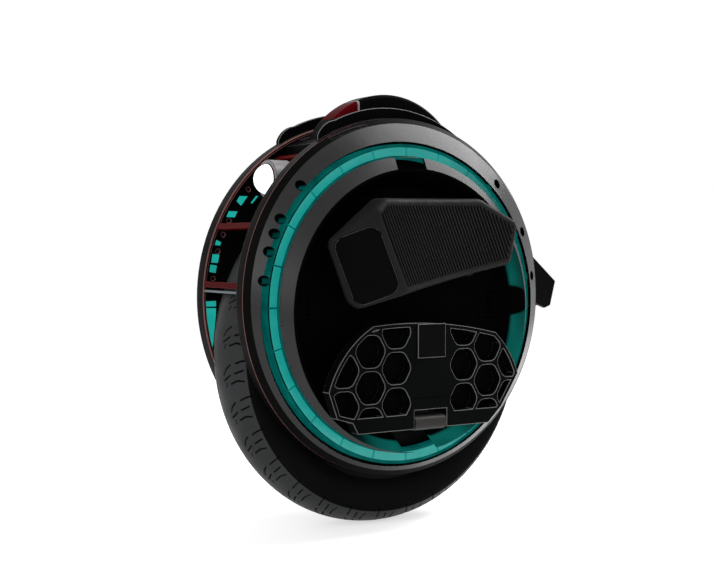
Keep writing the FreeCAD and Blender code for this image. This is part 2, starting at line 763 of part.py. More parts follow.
def make_side_panel():
    edge = lip_radius - S.lip_gap
    inner = lip_radius - S.lip_width
    outline = [(NIL, floor_y), (floor_radius, floor_y), (edge, lip_y - S.panel_wall), (edge, lip_y),
               (inner, lip_y), (floor_radius - S.panel_wall, face_y), (NIL, face_y)]
    dish = lathe("SidePanel", outline, lip_z)
    half = S.knuckle_half_length + S.knuckle_gap + S.knuckle_gap
    door = box("HangerDoor", (pedal_x - half, pedal_x + half), (ring_y, lip_y + S.overrun),
               (lip_z - lip_radius - S.overrun, hinge_z + S.knuckle_radius + S.web_rise + S.knuckle_gap))
    slits = []
    forward_reach, upper, lower = (lip_radius.value * LIP_SHARES[name] for name in
                                   ("grille_forward", "grille_upper", "grille_lower"))
    for forward, lift in ((1, upper), (1, lower), (-1, lower)):
        for number in range(int(S.slit_count)):
            rise = (number - (S.slit_count.value - 1) / 2) * S.slit_pitch.value
            corner = Vector(forward * forward_reach - S.slit_length.value / 2,
                            floor_y.value - S.overrun.value, lip_z.value + lift + rise)
            depth = S.panel_wall.value + 2 * S.overrun.value
            slits.append(Part.makeBox(S.slit_length.value, depth, S.slit_width.value, corner))
    grille = formed("GrilleSlits", Part.makeCompound(slits))
    keep_pair("side_panel", cut("SidePanel", dish, door, grille))


def pad_frame():
    """The tilted frame of the leg pad: its origin is the middle of the crest."""
    base = Vector(crest_x.value, 0, crest_z.value)
    return Placement(base, Rotation(Vector(0, 1, 0), S.pad_tilt.value))


def pad_outline(margin):
    """The pad's upright outline as a prism, drawn in by a margin."""
    points = [Vector((pad_front - pad_length * back).value, pad_y.value,
                     (pad_low + pad_height * up).value) for back, up in PAD_OUTLINE_SHARES]
    wire = Part.makePolygon(points + points[:1])
    inner = wire.makeOffset2D(-margin, join=2) if margin else wire
    prism = Part.Face(inner).extrude(Vector(0, (S.pad_crest + S.overrun).value * 2, 0))
    upright = [edge for edge in prism.Edges if edge.BoundBox.YLength > S.pad_crest.value]
    return prism.makeFillet(S.pad_corner.value - margin, upright)


def side_curve_point(share, lift):
    """A point of the pad's hollow side, between crest and heel, moved out by a lift."""
    crest = Vector(0, (pad_y + S.pad_crest).value, 0)
    heel = Vector(-side_run.value, (pad_y + S.pad_heel).value, 0)
    run = heel - crest
    outward = Vector(run.y, -run.x, 0).normalize()
    radius = side_radius.value
    away = math.sqrt(radius ** 2 - (run.Length / 2) ** 2)
    centre = crest + run * 0.5 + outward * away
    start = math.atan2(crest.y - centre.y, crest.x - centre.x)
    sweep = 2 * math.asin(run.Length / 2 / radius)
    angle = start - sweep * share
    reach = radius - lift
    return centre + Vector(math.cos(angle), math.sin(angle), 0) * reach


def tilted_prism(points):
    """A prism of a closed outline in the pad's tilted frame, longer than the pad both ways."""
    half = pad_height.value
    face = Part.Face(Part.makePolygon(points + points[:1]))
    prism = face.extrude(Vector(0, 0, 2 * half))
    prism.translate(Vector(0, 0, -half))
    prism.Placement = pad_frame().multiply(prism.Placement)
    return prism


def rib_band(top):
    """The ribbed insert's section; top gives the lift of the outer side at each share."""
    count = 2 * int(S.rib_count)
    first, last = S.rib_lead.value / side_run.value, 1 - S.rib_margin.value / side_run.value
    shares = [first + (last - first) * number / count for number in range(count + 1)]
    outer = [side_curve_point(share, top(number)) for number, share in enumerate(shares)]
    inner = [side_curve_point(share, -S.rib_base.value) for share in reversed(shares)]
    return tilted_prism(outer + inner)


def make_leg_pad():
    body = doc.addObject("PartDesign::Body", "PadProfile")
    sketch = new_sketch(body, "XY_Plane")
    draw(sketch, [(cap_run, pad_y), (cap_run, pad_y + S.pad_toe),
                  (NIL, pad_y + S.pad_crest, side_radius, -1),
                  (-side_run, pad_y + S.pad_heel), (-side_run, pad_y)])
    prism = body.newObject("PartDesign::Pad", "Length")
    prism.Profile = sketch
    prism.Midplane = True
    bind(prism, Length=pad_height * 2)
    doc.recompute()
    crest = [f"Edge{number}" for number, edge in enumerate(body.Shape.Edges, 1) if is_crest(edge)]
    eased = body.newObject("PartDesign::Fillet", "Crest")
    eased.Base = (prism, crest)
    bind(eased, Radius=S.pad_crest_round)
    body.Placement = pad_frame()
    bind(body, Placement__Base__x=crest_x,
         Placement__Base__z=crest_z, Placement__Rotation__Angle=S.pad_tilt)
    outline = formed("PadOutline", pad_outline(0))
    wedge = common("PadWedge", body, outline)
    doc.recompute()
    rounded = doc.addObject("Part::Fillet", "PadRounded")
    rounded.Base = wedge
    rounded.Edges = [(number, S.pad_round.value, S.pad_round.value) for number in pad_edges(wedge.Shape)]
    middle_x = pad_front - pad_length / 2
    middle_z = pad_low + pad_height * PAD_HEIGHT_SHARES["foot_middle"]
    half_length = pad_length * PAD_LENGTH_SHARES["foot_length"] / 2
    half_height = pad_height * PAD_HEIGHT_SHARES["foot_height"] / 2
    foot = box("PadFoot", (middle_x - half_length, middle_x + half_length), (face_y, pad_y),
               (middle_z - half_height, middle_z + half_height))
    solid = fuse("PadSolid", rounded, foot)
    recess = formed("RibRecess", rib_band(lambda number: S.overrun.value * 3).common(
        pad_outline(S.rib_margin.value)))
    keep_pair("leg_pad", cut("LegPad", solid, recess, make_cap(S.insert_gap.value)))
    ribs = rib_band(lambda number: S.rib_rise.value / 2 * (1 if number % 2 else -1)).common(
        pad_outline(S.rib_margin.value + S.insert_gap.value))
    keep_pair("pad_ribs", formed("PadRibs", ribs))
    keep_pair("pad_cap", make_cap(0))


def pad_edges(shape):
    """Numbers of the edges between the pad's outer faces and its outline."""
    back = pad_y.value + S.pad_toe.value / 2
    wall = [face for face in shape.Faces if abs(face.BoundBox.YMin - pad_y.value) < S.fit.value]
    rims = [edge for face in wall for edge in face.Edges]
    return [number for number, edge in enumerate(shape.Edges, 1) if edge.BoundBox.YMin > back
            and sum(edge.isSame(rim) for rim in rims) == 1]


def is_crest(edge):
    """Whether an edge is the sharp one along the top of the pad's profile."""
    top = (pad_y + S.pad_crest).value - S.fit.value
    return edge.BoundBox.YMin > top and edge.BoundBox.ZLength > pad_height.value


def make_cap(grow):
    """The pad's front panel, or with growth the recess that it sits in."""
    run, rise = cap_run.value, (S.pad_crest - S.pad_toe).value
    lean = math.degrees(math.atan2(rise, -run))
    long = pad_length.value * PAD_LENGTH_SHARES["cap_length"] + 2 * grow
    high = pad_height.value * PAD_HEIGHT_SHARES["cap_height"] + 2 * grow
    deep = S.cap_thick.value + grow
    lift = S.overrun.value * 2 if grow else 0
    blank = Part.makeBox(long, deep + lift, high, Vector(-long / 2, -lift, -high / 2))
    upright = [edge for edge in blank.Edges if edge.BoundBox.YLength > deep / 2]
    blank = blank.makeFillet(S.cap_round.value, upright)
    drop = pad_height.value * PAD_HEIGHT_SHARES["cap_drop"]
    side = (pad_y + S.pad_crest).value - rise * CAP_MIDDLE_SHARE
    middle = Placement(Vector(run * CAP_MIDDLE_SHARE, side, -drop), Rotation(Vector(0, 0, 1), lean))
    blank.Placement = pad_frame().multiply(middle)
    return formed("PadCap" if not grow else "CapRecess", blank)


def pedal_corner(back, up):
    return (pedal_front - pedal_length * back, pedal_low + pedal_height * up)


def pedal_outline():
    top = pedal_length * PEDAL_LENGTH_SHARES["top_radius"]
    side = pedal_length * PEDAL_LENGTH_SHARES["side_radius"]
    foot = [pedal_corner(*share) for share in PEDAL_FOOT_SHARES]
    front, fore, aft, rear = (pedal_corner(*share) for share in PEDAL_BOW_SHARES)
    return foot + [front + (side, 1), fore + (top, 1), aft + (side, 1), rear]


def pedal_face(margin, low):
    """The pedal's outline as a face on its inner plane, drawn in by a margin and cut off below."""
    points = [(corner[0].value, corner[1].value) for corner in pedal_outline()]
    edges = []
    for index, corner in enumerate(pedal_outline()):
        first, last = Vector(*points[index], 0), Vector(*points[(index + 1) % len(points)], 0)
        curve = arc_between(first, last, corner[2].value, corner[3]) if len(corner) > 2 else None
        edges.append((curve or Part.LineSegment(first, last)).toShape())
    wire = Part.Wire(Part.sortEdges(edges)[0]).makeOffset2D(-margin, join=2)
    over = S.overrun.value
    prism = Part.Face(wire).extrude(Vector(0, 0, over))
    wide, tall = pedal_length.value * 2, pedal_height.value * 2
    trim = Part.makeBox(wide, tall, over * 2, Vector(-wide / 2, low.value, -over / 2))
    face = prism.common(trim)
    flat = next(item for item in face.Faces if abs(item.CenterOfMass.z) < S.fit.value)
    upright = Placement(Vector(0, pedal_y.value, 0), Rotation(Vector(1, 0, 0), 90))
    flat = flat.copy()
    flat.Placement = upright.multiply(flat.Placement)
    return flat


def pedal_cells():
    """The honeycomb's holes, right through the pedal, kept inside its rim."""
    pitch, rise, width, start = (pedal_length.value * PEDAL_LENGTH_SHARES[name] for name in
                                 ("cell_pitch", "cell_rise", "cell_width", "cell_start"))
    radius = width / math.sqrt(3)
    middle_z = pedal_low.value + pedal_height.value * PEDAL_HEIGHT_SHARES["cell_middle"]
    prisms = []
    depth = Vector(0, S.pedal_thick.value + 2 * S.overrun.value, 0)
    for side in (-1, 1):
        for column in range(3):
            across = pedal_x.value + side * (start + pitch * column)
            shift = 0 if column % 2 == 0 else rise / 2
            for row in range(-2, 3):
                centre = Vector(across, pedal_y.value - S.overrun.value, middle_z + shift + row * rise)
                corners = [centre + Vector(math.cos(turn), 0, math.sin(turn)) * radius
                           for turn in [math.radians(60 * number) for number in range(6)]]
                prism = Part.Face(Part.makePolygon(corners + corners[:1])).extrude(depth)
                upright = [edge for edge in prism.Edges if edge.BoundBox.YLength > S.overrun.value]
                prisms.append(prism.makeFillet(S.cell_round.value, upright))
    field = pedal_face(S.pedal_rim.value, pedal_low + S.pedal_bar_height).extrude(depth)
    field.translate(Vector(0, -S.overrun.value, 0))
    pieces = [prism.common(field) for prism in prisms]
    return formed("PedalCells", Part.makeCompound([solid for piece in pieces for solid in piece.Solids]))


def make_pedal():
    outer = pedal_y + S.pedal_thick
    plate = slab("PedalPlate", pedal_outline(), pedal_y, outer)
    half = S.knuckle_half_length + S.knuckle_gap
    notch = box("KnuckleNotch", (pedal_x - half, pedal_x + half), (pedal_y - S.overrun, outer + S.overrun),
                (pedal_low - S.overrun, hinge_z + S.knuckle_radius + S.knuckle_room))
    bore = rod("PedalBore", "x", S.pin_radius + S.pin_gap, pin_half * 2 + S.overrun,
               x=pedal_x - pin_half - S.overrun / 2, y=hinge_y, z=hinge_z)
    keep_pair("pedal", cut("Pedal", plate, notch, bore, pedal_cells()))
    sheet = pedal_face(S.grip_margin.value, pedal_low + S.pedal_bar_height - S.grip_margin)
    grip = formed("GripSheet", sheet.extrude(Vector(0, -S.grip_thick.value, 0)))
    keep_pair("pedal_grip", cut("PedalGrip", grip, notch))
    top = pedal_low + pedal_height - S.catch_drop
    size = S.catch_size / 2
    catch = box("PedalCatch", (pedal_x - size, pedal_x + size), (outer, outer + S.catch_thick),
                (top - S.catch_size, top))
    keep_pair("pedal_catch", catch)


def make_hanger():
    half = S.knuckle_half_length
    rear = pedal_x - S.hanger_half_width
    plate = box("HangerPlate", (rear, pedal_x + S.hanger_half_width), (flange_y, floor_y),
                (ring_z - chord(flange_bore, rear) + S.hanger_gap, pedal_low + pedal_height - S.hanger_drop))
    web = box("HangerWeb", (pedal_x - half, pedal_x + half), (ring_y + S.battery_gap, face_y + S.web_reach),
              (hinge_z, hinge_z + S.knuckle_radius + S.web_rise))
    arm = box("HangerArm", (pedal_x - half, pedal_x + half), (ring_y + S.battery_gap, hinge_y),
              (hinge_z - S.knuckle_radius, hinge_z + S.knuckle_radius))
    barrel = rod("HangerBarrel", "x", S.knuckle_radius, half * 2, x=pedal_x - half, y=hinge_y, z=hinge_z)
    eye = rod("HangerEye", "y", S.nut_radius + S.overrun, floor_y, z=axle_z)
    bore = rod("HangerBore", "x", S.pin_radius + S.fit, half * 2 + S.overrun,
               x=pedal_x - half - S.overrun / 2, y=hinge_y, z=hinge_z)
    keep_pair("pedal_hanger", cut("Hanger", fuse("HangerBlank", plate, web, arm, barrel), eye, bore))
    pin = rod("PedalPin", "x", S.pin_radius, pin_half * 2, x=pedal_x - pin_half,
              y=hinge_y, z=hinge_z)
    keep_pair("pedal_pin", pin)


def make_cage():
    bars = []
    thick = S.deck_step - S.bar_gap * 2
    for name, angle, under in (("Lower", S.lower_bar_angle, deck_radius),
                               ("Middle", S.middle_bar_angle, deck_radius),
                               ("Upper", S.upper_bar_angle, nose_radius)):
        bar = doc.addObject("Part::Box", f"{name}Bar")
        bind(bar, Length=thick, Width=rail_y * 2, Height=S.bar_width)
        turn = Placement(Vector(0, 0, ring_z.value), Rotation(Vector(0, 1, 0), -angle.value))
        seat = Vector((under + S.bar_gap).value, -rail_y.value, -S.bar_width.value / 2)
        bar.Placement = turn.multiply(Placement(seat, Rotation()))
        bars.append(bar)
    keep("front_bars", group("FrontBars", *bars))
    front = deck_front + S.lamp_length
    barrel = rod("LampBarrel", "x", S.lamp_radius, S.lamp_length, x=deck_front, z=lamp_z)
    bore = rod("LampBore", "x", S.lens_radius + S.insert_gap, S.lamp_depth + S.overrun,
               x=front - S.lamp_depth, z=lamp_z)
    keep("headlight_housing", cut("LampHousing", barrel, bore))
    ball = doc.addObject("Part::Sphere", "LensBall")
    bind(ball, Radius=S.lens_dome)
    place(ball, x=front - chord(S.lens_dome, S.lens_radius), z=lamp_z)
    disc = rod("LensDisc", "x", S.lens_radius, S.lens_rim + S.lens_dome, x=front - S.lens_rim, z=lamp_z)
    keep("headlight_lens", common("HeadlightLens", ball, disc))


def deck_top(forward):
    return ring_z + chord(deck_radius, forward)


def make_deck():
    under = deck_under
    front, rear, fore = deck_front, deck_rear, deck_radius * DECK_SHARES["bay_front"]
    nose = deck_radius * DECK_SHARES["nose"]
    aft = port_back + S.cap_radius + S.ear_reach + S.bay_gap
    outline = [(front, axle_z + chord(under, front)),
               (front, ring_z + chord(nose_radius, front), nose_radius, 1),
               (nose, ring_z + chord(nose_radius, nose)), (nose, deck_top(nose), deck_radius, 1),
               (fore, deck_top(fore)), (fore, deck_floor), (-aft, deck_floor),
               (-aft, deck_top(aft), deck_radius, 1), (-rear, deck_top(rear)),
               (-rear, axle_z + chord(under, rear), under, -1)]
    blank = slab("DeckBlank", outline, -frame_y, frame_y)
    gap, low = S.board_gap, deck_floor - S.board_drop
    board_front = deck_radius * DECK_SHARES["board_front"]
    board_rear = deck_radius * DECK_SHARES["board_rear"]
    bay = box("BoardBay", (board_rear, board_front), (-S.board_half_width, S.board_half_width),
              (low, low + S.board_bay_height))
    keep("control_board", box("ControlBoard", (board_rear + gap, board_front - gap),
                              (-S.board_half_width + gap, S.board_half_width - gap),
                              (low, low + S.board_height)))
    socket = rod("PortSeat", "z", S.port_radius + S.fit, S.port_depth + S.overrun,
                 x=-port_back, y=S.port_side, z=deck_floor - S.port_depth)
    well = button_rod("ButtonWell", S.button_radius + S.button_gap,
                      deck_radius + S.button_proud - S.button_height - S.button_room,
                      S.button_height + S.button_room + S.overrun)
    keep("top_deck", cut("TopDeck", blank, bay, socket, well))
    button = button_rod("PowerButton", S.button_radius, deck_radius + S.button_proud - S.button_height,
                        S.button_height)
    keep("power_button", button)
    barrel = rod("PortBarrel", "z", S.port_radius, S.port_depth, x=-port_back, y=S.port_side,
                 z=deck_floor - S.port_depth)
    bore = rod("PortBore", "z", S.port_bore, S.port_depth, x=-port_back, y=S.port_side,
               z=deck_floor - S.port_depth + S.port_floor)
    keep("charge_port", cut("ChargePort", barrel, bore))
    disc = rod("CapDisc", "z", S.cap_radius, S.cap_disc_thick, x=-port_back, y=S.port_side,
               z=deck_floor + S.cap_lift)
    rim = -port_back - S.cap_radius
    top = deck_floor + S.cap_lift + S.cap_disc_thick
    low, high = S.port_side - S.ear_half_width, S.port_side + S.ear_half_width
    ear = box("CapEar", (rim - S.ear_reach, rim + S.ear_reach), (low, high),
              (deck_floor + S.cap_lift + S.ear_step, top))
    barrel = rod("CapBarrel", "y", S.ear_radius, high - low, x=rim - S.ear_reach, y=low, z=top - S.ear_radius)
    keep("charge_cap", fuse("ChargeCap", disc, ear, barrel))


def button_rod(label, radius, start, length):
    """A cylinder along the deck's slanted normal at the power button."""
    thing = doc.addObject("Part::Cylinder", label)
    bind(thing, Radius=radius, Height=length)
    turn = math.radians(S.button_angle.value)
    out = Vector(math.cos(turn), 0, math.sin(turn))
    thing.Placement = Placement(out * start.value + Vector(0, -S.button_side.value, ring_z.value),
                                Rotation(Vector(0, 1, 0), 90 - S.button_angle.value))
    return thing


def make_wing():
    foot = shell_radius + S.fit
    names = ("front", "shoulder", "shoulder_rise", "top_radius", "rear")
    front, shoulder, shoulder_rise, top_radius, rear = (shell_radius * WING_SHARES[name] for name in names)
    outline = [(front, ring_z + chord(foot, front)),
               (front, ring_z + chord(foot, front) + S.wing_front_rise, S.wing_corner_radius, 1),
               (shoulder, ring_z + shoulder_rise, top_radius, 1),
               (-rear, ring_z + chord(foot, rear) + S.wing_rear_rise),
               (-rear, ring_z + chord(foot, rear), foot, -1)]
    keep_pair("wing", slab("Wing", outline, rail_y + S.wing_inset, ring_y - S.wing_outset))


def make_handle():
    outer, inner = handle_radius, handle_radius - S.handle_thick
    leg = S.handle_leg
    foot = handle_z + leg
    outline = [(handle_x + chord(outer, leg), foot, outer, 1), (handle_x - chord(outer, leg), foot),
               (handle_x - chord(inner, leg), foot, inner, -1), (handle_x + chord(inner, leg), foot)]
    arch = slab("HandleArch", outline, -S.handle_half_width, S.handle_half_width)
    doc.recompute()
    body_edges = [f"Edge{number}" for number, edge in enumerate(arch.Shape.Edges, 1)
                  if edge.BoundBox.YLength < S.fit.value and edge.BoundBox.XLength > outer.value]
    square = arch.Tip
    rounded = arch.newObject("PartDesign::Fillet", "Rounded")
    rounded.Base = (square, body_edges)
    bind(rounded, Radius=S.handle_round)
    floor = rod("DeckRound", "y", deck_radius, S.handle_half_width * 4, y=-S.handle_half_width * 2, z=ring_z)
    half, wide = S.switch_half_length + S.switch_gap, S.switch_half_width + S.switch_gap
    low = handle_z + inner - S.handle_grip_thick - S.switch_proud
    window = box("SwitchWindow", (handle_x - half, handle_x + half), (-wide, wide),
                 (low, low + S.switch_height + S.switch_travel))
    keep("handle", cut("Handle", arch, floor, window))
    far, near = inner - S.fit, inner - S.handle_grip_thick
    long = deck_radius * DECK_SHARES["grip_half"]
    short = long - S.handle_grip_inset * 2
    band = [(handle_x + long, handle_z + chord(far, long), far, 1),
            (handle_x - long, handle_z + chord(far, long)),
            (handle_x - short, handle_z + chord(near, short), near, -1),
            (handle_x + short, handle_z + chord(near, short))]
    side = S.handle_half_width - S.handle_round - S.handle_grip_inset
    keep("handle_grip", cut("HandleGrip", slab("GripBand", band, -side, side), window))
    switch = box("LiftSwitch", (handle_x - S.switch_half_length, handle_x + S.switch_half_length),
                 (-S.switch_half_width, S.switch_half_width), (low, low + S.switch_height))
    keep("lift_switch", switch)


def guard_corner(back, up):
    return (-deck_rear - S.guard_gap - guard_length * back, guard_low + guard_height * up)


def make_mudguard():
    front = deck_rear + S.guard_gap
    under = deck_radius - S.guard_plate
    foot = deck_radius * DECK_SHARES["guard_foot"]
    spring = deck_radius * DECK_SHARES["guard_spring"]
    tip = [guard_corner(*share) for share in GUARD_TIP_SHARES]
    outline = [(-front, deck_top(front), deck_radius, 1), (-spring, deck_top(spring))] + tip
    outline += [(-foot, ring_z + chord(under, foot), under, -1),
                (-front, ring_z + chord(under, front))]
    blade = slab("GuardBlade", outline, -S.guard_half_width, S.guard_half_width)
    side = S.guard_half_width - S.guard_wall
    hollow = slab("GuardHollow", [guard_corner(*share) for share in GUARD_HOLLOW_SHARES], -side, side)
    keep("rear_mudguard", cut("RearMudguard", blade, hollow))
    upper, lower = tip[:2]
    thick = S.tail_thick
    outline = [(upper[0] - S.guard_gap, upper[1]), (upper[0] - thick, upper[1] - thick),
               (lower[0] - thick, lower[1] + thick / 2), (lower[0] - S.guard_gap, lower[1])]
    keep("tail_light", slab("TailLight", outline, -S.tail_half_width, S.tail_half_width))


def check_and_write():
    """Stops on any failed or empty object, then writes each piece."""
    doc.recompute()
    failed = [thing.Label for thing in doc.Objects if {"Invalid", "Error"} & set(thing.State)]
    broken = [thing.Label for thing in NODES if thing.Shape.isNull() or not thing.Shape.isValid()]
    empty = [thing.Label for thing in NODES if not thing.Shape.Solids]
    if failed or broken or empty:
        raise SystemExit(f"failed {failed}, broken {broken}, without solids {empty}")
    os.makedirs("parts", exist_ok=True)
    for thing in NODES:
        thing.Shape.exportStep(os.path.join("parts", thing.Label + ".step"))
        spread = thing.Shape.BoundBox
        print(f"{thing.Label:20s} {len(thing.Shape.Solids):3d} solids {thing.Shape.Volume / 1000:9.1f} cm3 "
              f"x {spread.XMin:7.1f} {spread.XMax:7.1f} y {spread.YMin:7.1f} {spread.YMax:7.1f} "
              f"z {spread.ZMin:7.1f} {spread.ZMax:7.1f}")


for make in (make_tyre, make_rim, make_motor, make_stator, make_frame, make_shell, make_ring_cover, make_led,
             make_side_panel, make_leg_pad, make_pedal, make_hanger, make_cage, make_deck, make_wing,
             make_handle, make_mudguard):
    make()
check_and_write()
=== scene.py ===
"""Looks of an electric unicycle: finishes, tyre tread, soft leg pads, lit rings, lamps and studio."""
import logging
import math
from contextlib import contextmanager
from dataclasses import dataclass
from enum import Enum
from typing import Callable, Iterator, Sequence

import bpy
from mathutils import Matrix, Vector


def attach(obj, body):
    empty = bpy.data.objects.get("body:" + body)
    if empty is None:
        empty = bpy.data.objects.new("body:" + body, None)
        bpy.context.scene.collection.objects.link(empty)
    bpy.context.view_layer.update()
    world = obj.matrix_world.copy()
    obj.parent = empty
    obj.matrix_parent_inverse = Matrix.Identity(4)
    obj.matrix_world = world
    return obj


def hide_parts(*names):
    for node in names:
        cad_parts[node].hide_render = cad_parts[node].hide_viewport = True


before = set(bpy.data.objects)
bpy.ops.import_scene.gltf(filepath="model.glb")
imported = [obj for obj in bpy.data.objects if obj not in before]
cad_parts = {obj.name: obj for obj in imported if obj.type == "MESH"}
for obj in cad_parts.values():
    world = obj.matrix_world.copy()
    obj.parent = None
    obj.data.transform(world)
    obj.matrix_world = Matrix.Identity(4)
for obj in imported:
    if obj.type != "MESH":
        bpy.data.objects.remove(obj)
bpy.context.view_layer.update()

LOG = logging.getLogger("unicycle")
Colour = tuple[float, float, float]
Place = tuple[float, float, float]
Span = tuple[float, float]
Socket = bpy.types.NodeSocket
Piece = bpy.types.Object
Face = bpy.types.MeshPolygon
SIDES = {"left": 1.0, "right": -1.0}
RING_CENTRE = (0.0, 0.0, 0.2797)
LIP_CENTRE = (0.0, 0.0, 0.2647)
AXLE_CENTRE = (0.0, 0.0, 0.216)
ACROSS_Y = (1.0, 0.0, 1.0)


class Body(Enum):
    """The rigid bodies that pieces ride on."""

    FRAME = "frame"
    WHEEL = "wheel"


class Grain(Enum):
    """Kinds of fine surface relief: features per metre, stretch along each axis and depth in metres."""

    MOULDED = (900.0, (1.0, 1.0, 1.0), 0.0002)
    BRUSHED = (350.0, (0.06, 1.0, 1.0), 0.00012)
    RUBBER = (450.0, (1.0, 1.0, 1.0), 0.0004)
    SANDED = (700.0, (1.0, 1.0, 1.0), 0.0009)
    GLASSY = (30.0, (1.0, 1.0, 1.0), 0.00003)


class Tree:
    """A material's node tree with one shader, built step by step."""

    def __init__(self, name: str) -> None:
        """Starts an empty material.

        Args:
            name: The material's name.
        """
        self.material = bpy.data.materials.new(name)
        self.material.use_nodes = True
        self.nodes = self.material.node_tree.nodes
        self.shader = self.nodes["Principled BSDF"]
        self.place = self.nodes.new("ShaderNodeTexCoord").outputs["Object"]

    def add(self, kind: str, **inputs: object) -> bpy.types.Node:
        """Adds a node.

        Args:
            kind: The node's type after "ShaderNode".
            inputs: Socket names, with underscores for spaces, and their values or source sockets.

        Returns:
            The new node.
        """
        node = self.nodes.new("ShaderNode" + kind)
        for name, value in inputs.items():
            self.feed(node, name.replace("_", " "), value)
        return node

    def feed(self, node: bpy.types.Node, socket: str | int, value: object) -> None:
        """Sets a socket's value, or links it.

        Args:
            node: The node that owns the socket.
            socket: The socket's name or number.
            value: A number, a colour or the output socket to link.
        """
        target = node.inputs[socket]
        if isinstance(value, Socket):
            self.material.node_tree.links.new(value, target)
        else:
            target.default_value = value

    def noise(self, scale: float, detail: float = 3.0, stretch: Sequence[float] = (1, 1, 1)) -> Socket:
        """Noise over the object's own coordinates, with features per metre, octaves and stretch."""
        mapped = self.add("Mapping", Vector=self.place, Scale=tuple(stretch)).outputs["Vector"]
        return self.add("TexNoise", Vector=mapped, Scale=scale, Detail=detail).outputs["Fac"]

    def ranged(self, value: Socket, low: float, high: float,
               start: float = 0.3, end: float = 0.7) -> Socket:
        """Maps a value from the range between start and end onto the one between low and high."""
        node = self.add("MapRange", Value=value, From_Min=start, From_Max=end, To_Min=low, To_Max=high)
        return node.outputs["Result"]

    def sum(self, operation: str, *values: object) -> Socket:
        """Does arithmetic on values.

        Args:
            operation: The arithmetic's name in Blender.
            values: One or two sockets or numbers.

        Returns:
            The result's socket.
        """
        node = self.add("Math")
        node.operation = operation
        for number, value in enumerate(values):
            self.feed(node, number, value)
        return node.outputs["Value"]

    def along(self, axis: str) -> Socket:
        """The coordinate along an axis."""
        return self.add("SeparateXYZ", Vector=self.place).outputs[axis]

    def reach(self, centre: Sequence[float], across: Sequence[float]) -> Socket:
        """Distance from a line through a centre.

        Args:
            centre: A point on the line.
            across: 1 for each axis that counts, and 0 for the line's own axis.

        Returns:
            The distance's socket.
        """
        back = tuple(-place * share for place, share in zip(centre, across))
        mapped = self.add("Mapping", Vector=self.place, Scale=tuple(across), Location=back)
        node = self.add("VectorMath", Vector=mapped.outputs["Vector"])
        node.operation = "LENGTH"
        return node.outputs["Value"]

    def band(self, value: Socket, low: float, high: float, soft: float) -> Socket:
        """A share that is 1 between two values, and falls to 0 over soft edges outside them."""
        rise = self.ranged(value, 0.0, 1.0, low - soft, low)
        return self.sum("MULTIPLY", rise, self.ranged(value, 1.0, 0.0, high, high + soft))

    def blend(self, share: Socket, first: Colour | Socket, second: Colour | Socket) -> Socket:
        """Mixes two colours.

        Args:
            share: Share of the second colour.
            first: The colour at 0.
            second: The colour at 1.

        Returns:
            The mixed colour's socket.
        """
        node = self.add("Mix")
        node.data_type = "RGBA"
        self.feed(node, 0, share)
        for number, colour in ((6, first), (7, second)):
            self.feed(node, number, colour if isinstance(colour, Socket) else (*colour, 1.0))
        return node.outputs[2]

    def relief(self, height: Socket, strength: float, distance: float) -> None:
        """Gives the shader a bump from a height, with its strength and its depth in metres."""
        bump = self.add("Bump", Height=height, Strength=strength, Distance=distance)
        self.set(Normal=bump.outputs["Normal"])

    def set(self, **values: object) -> None:
        """Sets sockets of the shader by name."""
        for name, value in values.items():
            self.feed(self.shader, name.replace("_", " "), value)


def scaled(colour: Colour, share: float) -> Colour:
    """A colour made darker or lighter by a factor on each channel."""
    return tuple(min(channel * share, 1.0) for channel in colour)


@dataclass(frozen=True)
class Finish:
    """A surface with slow colour drift, uneven gloss and fine relief."""

    name: str
    colour: Colour
    roughness: float
    grain: Grain = Grain.MOULDED
    metallic: float = 0.0
    drift: float = 0.25
    relief: float = 0.25
    specular: float = 0.2
    drift_scale: float = 14.0
    gloss_scale: float = 26.0
    gloss_spread: Span = (0.82, 1.2)

    def material(self) -> bpy.types.Material:
        """Builds the finish's material, once.

        Returns:
            The material.
        """
        known = bpy.data.materials.get(self.name)
        if known:
            return known
        tree = Tree(self.name)
        tree.set(Metallic=self.metallic, Specular_IOR_Level=self.specular)
        self.texture(tree)
        self.paint(tree)
        return tree.material

    def drifting(self, tree: Tree, colour: Colour) -> Socket:
        """A colour that drifts over the piece, to both sides of a middle colour."""
        share = tree.ranged(tree.noise(self.drift_scale, 4.0), 0.0, 1.0)
        return tree.blend(share, scaled(colour, 1 - self.drift), scaled(colour, 1 + self.drift))

    def paint(self, tree: Tree) -> None:
        """Gives the tree its colour."""
        tree.set(Base_Color=self.drifting(tree, self.colour))

    def texture(self, tree: Tree) -> None:
        """Gloss that varies, and the grain's relief.

        Args:
            tree: The tree to work on.
        """
        scale, stretch, depth = self.grain.value
        low, high = (min(self.roughness * share, 1.0) for share in self.gloss_spread)
        tree.set(Roughness=tree.ranged(tree.noise(self.gloss_scale, 5.0), low, high))
        tree.relief(tree.noise(scale, 2.0, stretch), self.relief, depth)


@dataclass(frozen=True)
class GrooveShadedRubber(Finish):
    """Rubber with painted shade in its cuts and grooves: a darker colour where they are marked."""

    # Painted shade: the colour of the marked cuts and grooves.
    shaded_cut: Colour = (0.0008, 0.0008, 0.0009)
    fade: Span = (0.1, 0.5)

    def paint(self, tree: Tree) -> None:
        """Rubber, and the painted shade in its cuts.

        Args:
            tree: The tree to work on.
        """
        groove = tree.add("Attribute")
        groove.attribute_name = "shaded_cut"
        share = tree.ranged(groove.outputs["Fac"], 0.0, 1.0, *self.fade)
        tree.set(Base_Color=tree.blend(share, self.drifting(tree, self.colour), self.shaded_cut))


